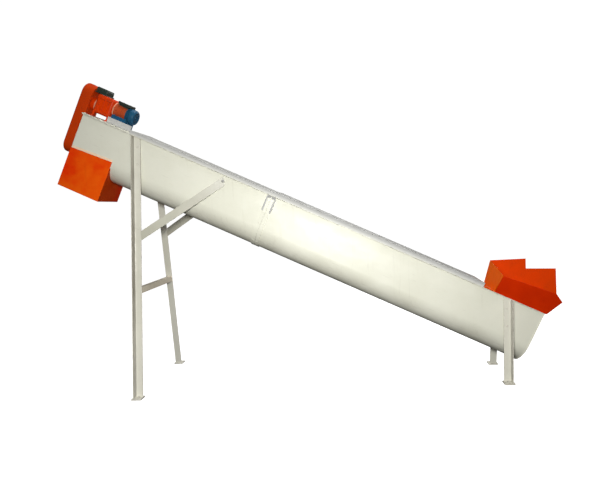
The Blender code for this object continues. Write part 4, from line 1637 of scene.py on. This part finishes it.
@dataclass
class Chute:
    """The four walls of the discharge chute, with the welds at their corners."""

    tail: float = -0.085
    bottom: float = -0.700
    top: float = -0.345  # t of the side walls' top at the head end
    top_tail: float = -0.326
    head_top: float = -0.408
    sheet: float = 0.0035
    shoulder_drop: float = 0.050
    weld_size: float = 0.0022
    corner_weld: float = 0.0016
    highlight_strip: tuple[float, float] = (0.020, 0.0035)  # height and thickness of the pale strip of painted highlight along the top
    highlight_strip_edge: float = 0.0012

    def side_wall(self, side: Side) -> None:
        """Build a side wall with the pale strip of painted highlight along its top, and the welds at its
        corners.
        """
        face = HALF_WIDTH + GAP
        head, tail = HEAD_S - GAP - self.sheet, self.tail
        outline = [(head, self.bottom), (tail, self.bottom), (tail, self.top_tail), (head, self.top)]
        height, thick = self.highlight_strip
        low = [(HEAD_S + 0.002, self.top + GAP), (tail, self.top_tail + GAP)]
        strip = [*low, *((s, t + height) for s, t in reversed(low))]
        node = f"chute_{side.name.lower()}_wall"
        piece = Piece(node + "_sheet", Slot.ORANGE, [node])
        shapes = ((outline, self.sheet, EDGE, ORANGE), (strip, thick, self.highlight_strip_edge, TOP_EDGE_HIGHLIGHT))
        for shape, depth, edge, finish in shapes:
            y = -face if side is Side.NEAR else face + depth
            piece.add(prism(shape, depth, edge), finish, Matrix.Translation((0.0, y, 0.0)) @ LENGTHWISE)
        for s in (head + 0.0006, tail - 0.0006):
            corner = (s, side.value * (face - 0.0002))
            path = [(*corner, self.bottom + 0.002), (*corner, self.top - 0.055)]
            piece.weld(path, self.corner_weld, ORANGE)
        piece.done()

    def end_wall(self, word: str, s: float, upper: Corners) -> Piece:
        """Start an end wall.

        Args:
            word: head or tail.
            s: where its head face stands.
            upper: points (y, t) of its upper edge, from the far side to the near one.

        Returns:
            The piece, with the wall in it.
        """
        outline = [(-HALF_WIDTH, self.bottom), (HALF_WIDTH, self.bottom), *upper]
        node = f"chute_{word}_wall"
        piece = Piece(node + "_sheet", Slot.ORANGE, [node])
        piece.add(prism(outline, self.sheet), ORANGE, Matrix.Translation((s, 0.0, 0.0)) @ ACROSS)
        return piece

    def build(self) -> None:
        """Build the walls."""
        for side in Side:
            self.side_wall(side)
        head_edge = [(HALF_WIDTH, self.head_top), (-HALF_WIDTH, self.head_top)]
        self.end_wall("head", HEAD_S - GAP - self.sheet, head_edge).done()

        radius = HALF_WIDTH + 2 * GAP
        shoulder = TROUGH_CENTRE - self.shoulder_drop
        start = atan2(-self.shoulder_drop, (radius ** 2 - self.shoulder_drop ** 2) ** 0.5)
        saddle, seam = (arc(0.0, TROUGH_CENTRE, radius, start, -pi - start, steps) for steps in (44, 60))
        tail_edge = [(HALF_WIDTH, shoulder), *saddle, (-HALF_WIDTH, shoulder)]
        wall = self.end_wall("tail", self.tail - self.sheet, tail_edge)
        wall.weld([(self.tail + 0.0005, y, t) for y, t in seam], self.weld_size, ORANGE)
        wall.done()


@dataclass
class Hopper:
    """The flared walls of the feed hopper."""

    start: float = 3.395
    end: float = 3.866
    near_lean: float = 0.55
    far_lean: float = 0.27
    uphill_lean: float = -0.10
    downhill_lean: float = 0.27
    mouth: float = 0.190  # y of the long walls at the trough's top
    near_tops: tuple[float, float] = (0.123, 0.116)  # t of the end walls' tops at the near side
    far_tops: tuple[float, float] = (0.199, 0.150)  # and at the far side, uphill one first
    sheet: float = 0.0035
    weld_size: float = 0.0020

    def foot(self) -> float:
        """Return t of the walls' lower edges."""
        return TROUGH_TOP + GAP + self.sheet * sin(atan2(self.near_lean, 1.0))

    def uphill(self, t: float) -> float:
        """Return s of the uphill wall at a height."""
        return self.start + self.uphill_lean * (t - self.foot())

    def downhill(self, t: float) -> float:
        """Return s of the downhill wall at a height."""
        return self.end + self.downhill_lean * (t - self.foot())

    def spot(self, s: float, t: float, side: Side) -> Point:
        """Return a point on the inner face of a long wall."""
        lean = self.near_lean if side is Side.NEAR else self.far_lean
        return s, side.value * (self.mouth + lean * (t - TROUGH_TOP)), t

    def wall(self, word: str, corners: Sequence[Point], finish: Finish) -> Piece:
        """Start a wall.

        Args:
            word: where it stands.
            corners: corners of its inner face.
            finish: its finish.

        Returns:
            The piece, with the wall in it.
        """
        node = f"hopper_{word}_wall"
        piece = Piece(node + "_sheet", Slot.ORANGE, [node])
        piece.add(slab(corners, self.sheet), finish)
        return piece

    def long_walls(self) -> None:
        """Build the near wall and the far back board."""
        foot = self.foot()
        base = [(self.uphill(foot), foot), (self.downhill(foot), foot)]
        head_t, tail_t = self.near_tops
        near = [*base, (self.downhill(tail_t), tail_t), (3.822, 0.161), (self.uphill(head_t), head_t)]
        far = [*base, (self.downhill(0.030), 0.030), (4.056, 0.138), (3.962, 0.369), (3.704, 0.259),
               (3.670, 0.343), (self.uphill(self.far_tops[0]), self.far_tops[0])]
        self.wall("near", [self.spot(s, t, Side.NEAR) for s, t in near], SHADED_HOPPER_ORANGE).done()
        self.wall("far", [self.spot(s, t, Side.FAR) for s, t in reversed(far)], BOARD_ORANGE).done()

    def end_wall(self, word: str, edge: Callable[[float], float], out: int, finish: Finish) -> Piece:
        """Start an end wall, with the welds at its two edges.

        Args:
            word: uphill or downhill.
            edge: s of the wall at a height.
            out: -1 where its outer face looks to the head and 1 where it looks to the tail.
            finish: its finish.

        Returns:
            The piece.
        """
        foot = self.foot()
        end = 0 if out < 0 else 1
        tops = {Side.NEAR: self.near_tops[end], Side.FAR: self.far_tops[end]}
        path = [(Side.NEAR, foot), (Side.FAR, foot), (Side.FAR, tops[Side.FAR]), (Side.NEAR, tops[Side.NEAR])]
        corners = []
        for side, t in path[::out]:
            s, y, _ = self.spot(edge(t), t, side)
            corners.append((s, y - 2 * GAP * side.value, t))
        piece = self.wall(word, corners, finish)
        for side, top in tops.items():
            seam = [self.spot(edge(t) + out * 0.002, t, side) for t in (foot + 0.004, top - 0.004)]
            piece.weld([(s, y - side.value * 0.001, t) for s, y, t in seam], self.weld_size, finish)
        return piece

    def build(self) -> None:
        """Build the four walls, and the foot plate in front of the uphill one."""
        self.long_walls()
        piece = self.end_wall("uphill", self.uphill, -1, WARM_ORANGE)
        low = TROUGH_TOP + GAP
        high = low + self.sheet
        plate = block((Lids.end + GAP, -FLANGE_TIP, low), (self.start - 0.001, FLANGE_TIP, high))
        piece.add(plate, WARM_ORANGE)
        heel = self.start - self.sheet - 0.001
        piece.weld([(heel, y, high) for y in (-0.186, 0.186)], self.weld_size, WARM_ORANGE)
        piece.done()
        self.end_wall("downhill", self.downhill, 1, SHADED_HOPPER_ORANGE).done()


@dataclass
class Legs:
    """Both frames: angle iron legs, feet, braces and the cross bar."""

    size: float = 0.063
    thick: float = 0.006
    toe: float = 0.003  # rounding of an angle iron's toes
    root: float = 0.006  # fillet in its corner
    edge: float = 0.0008
    flat_ring: float = 0.005
    brace_size: float = 0.068
    bar_size: float = 0.050
    bar_heel: float = 0.028
    foot_size: float = 0.086
    foot_thick: float = 0.012
    tall_foot_y: float = 0.458
    low_foot_y: float = 0.238
    top_y: float = HALF_WIDTH + GAP
    bar_z: float = 0.905
    brace_z: float = 1.345
    brace_reach: float = 0.775
    brace_rise: float = 0.604
    tall_lean: float = 0.024  # how far the tall legs' tops stand towards the feed end
    low_lean: float = 0.020
    bolt: float = 0.010
    bolt_drops: tuple[float, float] = (0.085, 0.235)  # bolts below a leg's top
    brace_bolt: float = 0.011
    weld_size: float = 0.0030
    foot_weld: float = 0.0032

    def under_flange(self, x: float) -> float:
        """Return the height of a leg's top under the trough's flange, at x from the tall frame."""
        depth = TROUGH_TOP - SHEET - 2 * GAP
        return LID_HEIGHT - x * tan(INCLINE) + depth / cos(INCLINE)

    def edge_slope(self) -> float:
        """Return how far a tall leg's edge moves towards the feed end for each metre of height."""
        return self.tall_lean / (self.under_flange(self.size / 2 + self.tall_lean) - self.foot_thick - GAP)

    def face(self, foot_y: float, middle_x: float, z: float) -> float:
        """Return the distance from the middle plane to the inner face of a leg whose top is at middle_x."""
        top_z = self.under_flange(middle_x - self.size / 2)
        return foot_y + (self.top_y - foot_y) * (z - self.foot_thick) / (top_z - self.foot_thick)

    def angle(self, size: float) -> Section:
        """The section of an angle iron, with its root fillet and rounded toes.

        Args:
            size: length of each flange.

        Returns:
            The section, its heel at the origin and its flanges along +u and +v.
        """
        thick, toe, root, ring = self.thick, self.toe, self.root, self.flat_ring
        half = [(self.edge, 0.0, 1.0), (ring, 0.0, 0.0), (size - ring, 0.0, 0.0), (size - 0.0005, 0.0, 1.0),
                (size, 0.0005, 1.0)]
        half += [(u, v, 1.0) for u, v in arc(size - toe, thick - toe, toe, 0.0, pi / 2, 2)]
        half += [(size - 0.009, thick, 0.0)]
        half += [(u, v, 0.0) for u, v in arc(thick + root, thick + root, root, 1.5 * pi, 1.25 * pi, 2)]
        return half + [(v, u, wear) for u, v, wear in reversed(half[:-1])]

    def flat(self, size: float) -> Section:
        """Return a flat bar's section, its width along +u."""
        edge, ring = self.edge, self.flat_ring
        half = [(0.0, edge, 1.0), (edge, 0.0, 1.0), (ring, 0.0, 0.0), (size - ring, 0.0, 0.0),
                (size - edge, 0.0, 1.0), (size, edge, 1.0)]
        return half + [(u, self.thick - v, wear) for u, v, wear in reversed(half)]

    def member(self, section: Section, ends: Callable[[int, float, float], Point]) -> Body:
        """A straight member.

        Args:
            section: its section.
            ends: places section point (u, v) at end 0 or end 1.

        Returns:
            The part.
        """
        rows = []
        for share in (0.0, 0.006, 0.5, 0.994, 1.0):
            worn = share in (0.0, 1.0)
            rows.append([(*Vector(ends(0, u, v)).lerp(Vector(ends(1, u, v)), share), 1.0 if worn else wear)
                         for u, v, wear in section])
        return loft(rows)

    def leg(self, word: str, side: Side, middle_x: float, turn: int, foot_y: float, lean: float) -> None:
        """Build a leg with the bolts at its top and the weld at its foot, and its foot plate.

        Args:
            word: tall or low.
            side: the side it stands on.
            middle_x: the middle of its foot, from the tall frame.
            turn: direction of its flange along the trough.
            foot_y: distance of its inner face from the middle plane, at the foot.
            lean: how far its top stands towards the feed end.
        """
        heel = middle_x - turn * self.size / 2
        out = side.value

        def ends(end: int, u: float, v: float) -> Point:
            """Return a point of the leg's end."""
            x = heel + turn * u + lean * end
            z = self.under_flange(x) if end else self.foot_thick + GAP
            return x, out * (self.face(foot_y, middle_x + lean, z) + v), z

        node = f"{word}_leg_{side.name.lower()}"
        finish = LEG_CREAM if word == "tall" else LOW_LEG_CREAM
        piece = Piece(node + "_angle", Slot.CREAM, [node], LEG_FRAME)
        piece.add(self.member(self.angle(self.size), ends), finish)
        top = self.under_flange(middle_x + lean)
        for z in (top - drop for drop in self.bolt_drops):
            y = out * (self.face(foot_y, middle_x + lean, z) + self.thick)
            spot = (middle_x + turn * 0.006 + lean * z / top, y, z)
            piece.bolts([spot], (0.0, out, 0.0), self.bolt, finish, washer=False)
        size, thick, inside = self.size, self.thick, -0.0005
        corners = [(0.0, inside), (size, inside), (size, thick), (thick, thick), (thick, size), (0.0, size)]
        path = [(heel + turn * u, out * (foot_y + v), self.foot_thick + 0.001) for u, v in corners]
        piece.weld(path, self.foot_weld, finish, True)
        piece.done()

        foot = f"{word}_foot_{side.name.lower()}"
        middle_y = out * (foot_y + size / 2)
        half = self.foot_size / 2
        low = (middle_x - half, middle_y - half, 0.0)
        high = (middle_x + half, middle_y + half, self.foot_thick)
        plate = Piece(foot + "_plate", Slot.CREAM, [foot], LEG_FRAME)
        plate.add(block(low, high, 0.0012), finish)
        spot = (middle_x + turn * 0.010, middle_y + out * 0.010, self.foot_thick)
        plate.bolts([spot], UP, self.bolt, finish)
        stud = lathe([(0.0, 0.014), (0.0042, 0.014), (0.005, 0.013), (0.005, 0.0), (0.0, 0.0)], 12)
        plate.add(stud, ZINC, looking(spot, UP))
        plate.done()

    def brace(self, side: Side) -> None:
        """Build a brace from the tall leg up to the trough's side."""
        edge_x, high_x = self.size / 2, self.brace_reach
        slope = self.edge_slope()
        depth = self.brace_size / cos(atan2(self.brace_rise, 1.0))
        low_y = self.face(self.tall_foot_y, self.tall_lean, self.brace_z + edge_x * self.brace_rise)
        out = side.value

        def low_end(across: float) -> float:
            """Return x of the brace's low end, where it meets the leaning edge of the leg."""
            return (edge_x + GAP + slope * (self.brace_z + across)) / (1.0 - slope * self.brace_rise)

        def ends(end: int, u: float, v: float) -> Point:
            """Return a point of the brace's end."""
            across = u * depth / self.brace_size - depth / 2
            x = high_x if end else low_end(across)
            return x, out * ((self.top_y if end else low_y) + v), self.brace_z + x * self.brace_rise + across

        node = f"brace_{side.name.lower()}"
        piece = Piece(node + "_flat", Slot.CREAM, [node], LEG_FRAME)
        piece.add(self.member(self.flat(self.brace_size), ends), SHADED_BRACE_CREAM)
        low_x, x = low_end(0.0), high_x - 0.014
        share = (x - low_x) / (high_x - low_x)
        y = out * (low_y + (self.top_y - low_y) * share + self.thick)
        spot = (x, y, self.brace_z + x * self.brace_rise + 0.006)
        piece.bolts([spot], (0.0, out, 0.0), self.brace_bolt, CLAMP_GREY)
        piece.weld([ends(0, u, self.thick) for u in (0.0, self.brace_size)], self.weld_size, SHADED_BRACE_CREAM)
        piece.done()

    def cross_bar(self) -> None:
        """Build the bar between the tall legs, with its welds."""
        heel, size = self.bar_heel + self.edge_slope() * self.bar_z, self.bar_size

        def ends(end: int, u: float, v: float) -> Point:
            """Return a point of the bar's end."""
            z = self.bar_z + size / 2 - v
            y = self.face(self.tall_foot_y, self.tall_lean, z) - GAP
            return heel - u, (y if end else -y), z

        piece = Piece("tall_cross_bar_angle", Slot.CREAM, ["tall_cross_bar"], LEG_FRAME)
        piece.add(self.member(self.angle(size), ends), LIT_BAR_CREAM)
        for end in (0, 1):
            seam = [ends(end, u, v) for u, v in ((size, 0.0), (0.0, 0.0), (0.0, size))]
            piece.weld(seam, self.weld_size, LIT_BAR_CREAM)
        piece.done()

    def build(self) -> None:
        """Build both frames."""
        for side in Side:
            self.leg("tall", side, 0.0, 1, self.tall_foot_y, self.tall_lean)
            self.leg("low", side, FRAME_SPACING, -1, self.low_foot_y, self.low_lean)
            self.brace(side)
        self.cross_bar()


# Floor, lights and camera


@dataclass(frozen=True)
class Lamp:
    """A soft rectangular light."""

    name: str
    spot: Point
    target: Point
    size: tuple[float, float]
    watts: float
    spread: float = pi  # angle that it lights

    def hang(self) -> None:
        """Add the light to the scene."""
        data = bpy.data.lights.new(self.name, "AREA")
        data.shape = "RECTANGLE"
        data.size, data.size_y = self.size
        data.energy = self.watts
        data.spread = self.spread
        light = bpy.data.objects.new(self.name, data)
        bpy.context.scene.collection.objects.link(light)
        light.location = self.spot
        light.rotation_euler = (Vector(self.target) - Vector(self.spot)).to_track_quat("-Z", "Y").to_euler()


LAMPS = (
    Lamp("key", (0.30, -4.25, 1.95), (0.10, 0.0, 1.25), (0.9, 0.7), 130.0, radians(140)),
    Lamp("overhead", (0.30, 0.50, 5.50), (0.20, 0.30, 1.0), (3.0, 1.5), 150.0),
    Lamp("fill_back", (1.5, 5.0, 3.6), (0.0, 0.0, 1.4), (3.0, 2.0), 90.0),
)


@dataclass
class Studio:
    """A pale floor, soft lights and the camera at the photograph's angle."""

    width: int = 610
    height: int = 485
    focal: float = 500.0  # pixels
    sensor: float = 36.0
    reach: float = 400.0
    middle: tuple[float, float] = (323.4056, 251.6163)
    eye: tuple[float, float, float] = (0.45164, -4.46903, 1.55)
    yaw: float = 0.0795756
    pitch: float = 0.0889411
    roll: float = -0.0445508
    floor_size: float = 120.0
    floor_white: Point = (0.60, 0.60, 0.595, 1.0)
    floor_glow: float = 0.97
    dome_radius: float = 160.0
    dome_glow: float = 1.02
    dome_steps: int = 24
    light_above: float = 0.16
    light_below: float = 0.018

    def camera(self) -> None:
        """Set the camera up from the fitted view."""
        data = bpy.data.cameras.new("camera")
        data.sensor_fit = "HORIZONTAL"
        data.sensor_width = self.sensor
        data.lens = self.focal / self.width * self.sensor
        data.shift_x = (self.width / 2 - self.middle[0]) / self.width
        data.shift_y = (self.middle[1] - self.height / 2) / self.width
        data.clip_end = self.reach
        level = Vector((-sin(self.yaw), cos(self.yaw), 0.0))
        side = Vector((cos(self.yaw), sin(self.yaw), 0.0))
        up = Vector(UP)
        ahead = level * cos(self.pitch) - up * sin(self.pitch)
        over = up * cos(self.pitch) + level * sin(self.pitch)
        right = side * cos(self.roll) + over * sin(self.roll)
        top = over * cos(self.roll) - side * sin(self.roll)
        camera = bpy.data.objects.new("camera", data)
        bpy.context.scene.collection.objects.link(camera)
        turn = Matrix((right, top, -ahead)).transposed().to_4x4()
        camera.matrix_world = Matrix.Translation(self.eye) @ turn
        bpy.context.scene.camera = camera

    def backdrop(self, name: str, mesh: bpy.types.Mesh, material: bpy.types.Material) -> None:
        """Set up a part of the studio that neither lights nor shades the conveyor.

        Args:
            name: its name.
            mesh: its mesh.
            material: its material.
        """
        mesh.materials.append(material)
        item = bpy.data.objects.new(name, mesh)
        bpy.context.scene.collection.objects.link(item)
        item.visible_diffuse = False
        item.visible_glossy = False
        item.visible_shadow = False

    def floor(self) -> None:
        """Lay a white floor that takes faint shadows and is clear from below."""
        bench = Bench("floor_white")
        white = bench.wire("ShaderNodeBsdfDiffuse", {}, {"Color": self.floor_white}, 0)
        glow = bench.wire("ShaderNodeEmission", {}, {"Color": WHITE, "Strength": self.floor_glow}, 0)
        both = bench.wire("ShaderNodeAddShader", {}, {0: white, 1: glow}, 0)
        clear = bench.wire("ShaderNodeBsdfTransparent", {}, {}, 0)
        behind = bench.wire("ShaderNodeNewGeometry", {}, {}, "Backfacing")
        shown = bench.wire("ShaderNodeMixShader", {}, {0: behind, 1: both, 2: clear}, 0)
        bench.node("ShaderNodeOutputMaterial", {}, {"Surface": shown})
        half = self.floor_size / 2
        mesh = bpy.data.meshes.new("floor")
        corners = [(-half, -half, 0.0), (half, -half, 0.0), (half, half, 0.0), (-half, half, 0.0)]
        mesh.from_pydata(corners, [], [(0, 1, 2, 3)])
        self.backdrop("floor", mesh, bench.material)

    def dome(self) -> None:
        """Hang a white backdrop all round the studio."""
        bench = Bench("backdrop_white")
        glow = bench.wire("ShaderNodeEmission", {}, {"Color": WHITE, "Strength": self.dome_glow}, 0)
        bench.node("ShaderNodeOutputMaterial", {}, {"Surface": glow})
        half_circle = arc(0.0, 0.0, self.dome_radius, 0.0, pi, self.dome_steps)
        body = lathe([(radius, x) for x, radius in half_circle])
        mesh = bpy.data.meshes.new("backdrop")
        body.to_mesh(mesh)
        body.free()
        self.backdrop("backdrop", mesh, bench.material)

    def sky(self) -> None:
        """Light the studio softly, more from above than from below."""
        world = bpy.data.worlds.new("studio")
        bpy.context.scene.world = world
        bench = Bench("studio", world)
        direction = bench.wire("ShaderNodeTexCoord", {}, {}, "Generated")
        height = bench.wire("ShaderNodeSeparateXYZ", {}, {0: direction}, "Z")
        strength = self.light_below + (self.light_above - self.light_below) * height.between(-0.25, 0.35)
        light = bench.wire("ShaderNodeBackground", {}, {"Color": WHITE, "Strength": strength}, 0)
        bench.node("ShaderNodeOutputWorld", {}, {"Surface": light})

    def build(self) -> None:
        """Build the studio."""
        self.camera()
        self.floor()
        self.dome()
        self.sky()
        for lamp in LAMPS:
            lamp.hang()
        view = bpy.context.scene.view_settings
        view.view_transform = "Standard"
        view.look = "None"


def main() -> None:
    """Build the conveyor and the studio, piece by piece."""
    logging.basicConfig(level=logging.INFO, format="%(name)s %(message)s")
    for kind in (Trough, Lids, Screw, Bearings, Drive, Guard, Chute, Hopper, Legs, Studio):
        kind().build()
        LOG.info("%s is built", kind.__name__)


if __name__ == "__main__":
    main()
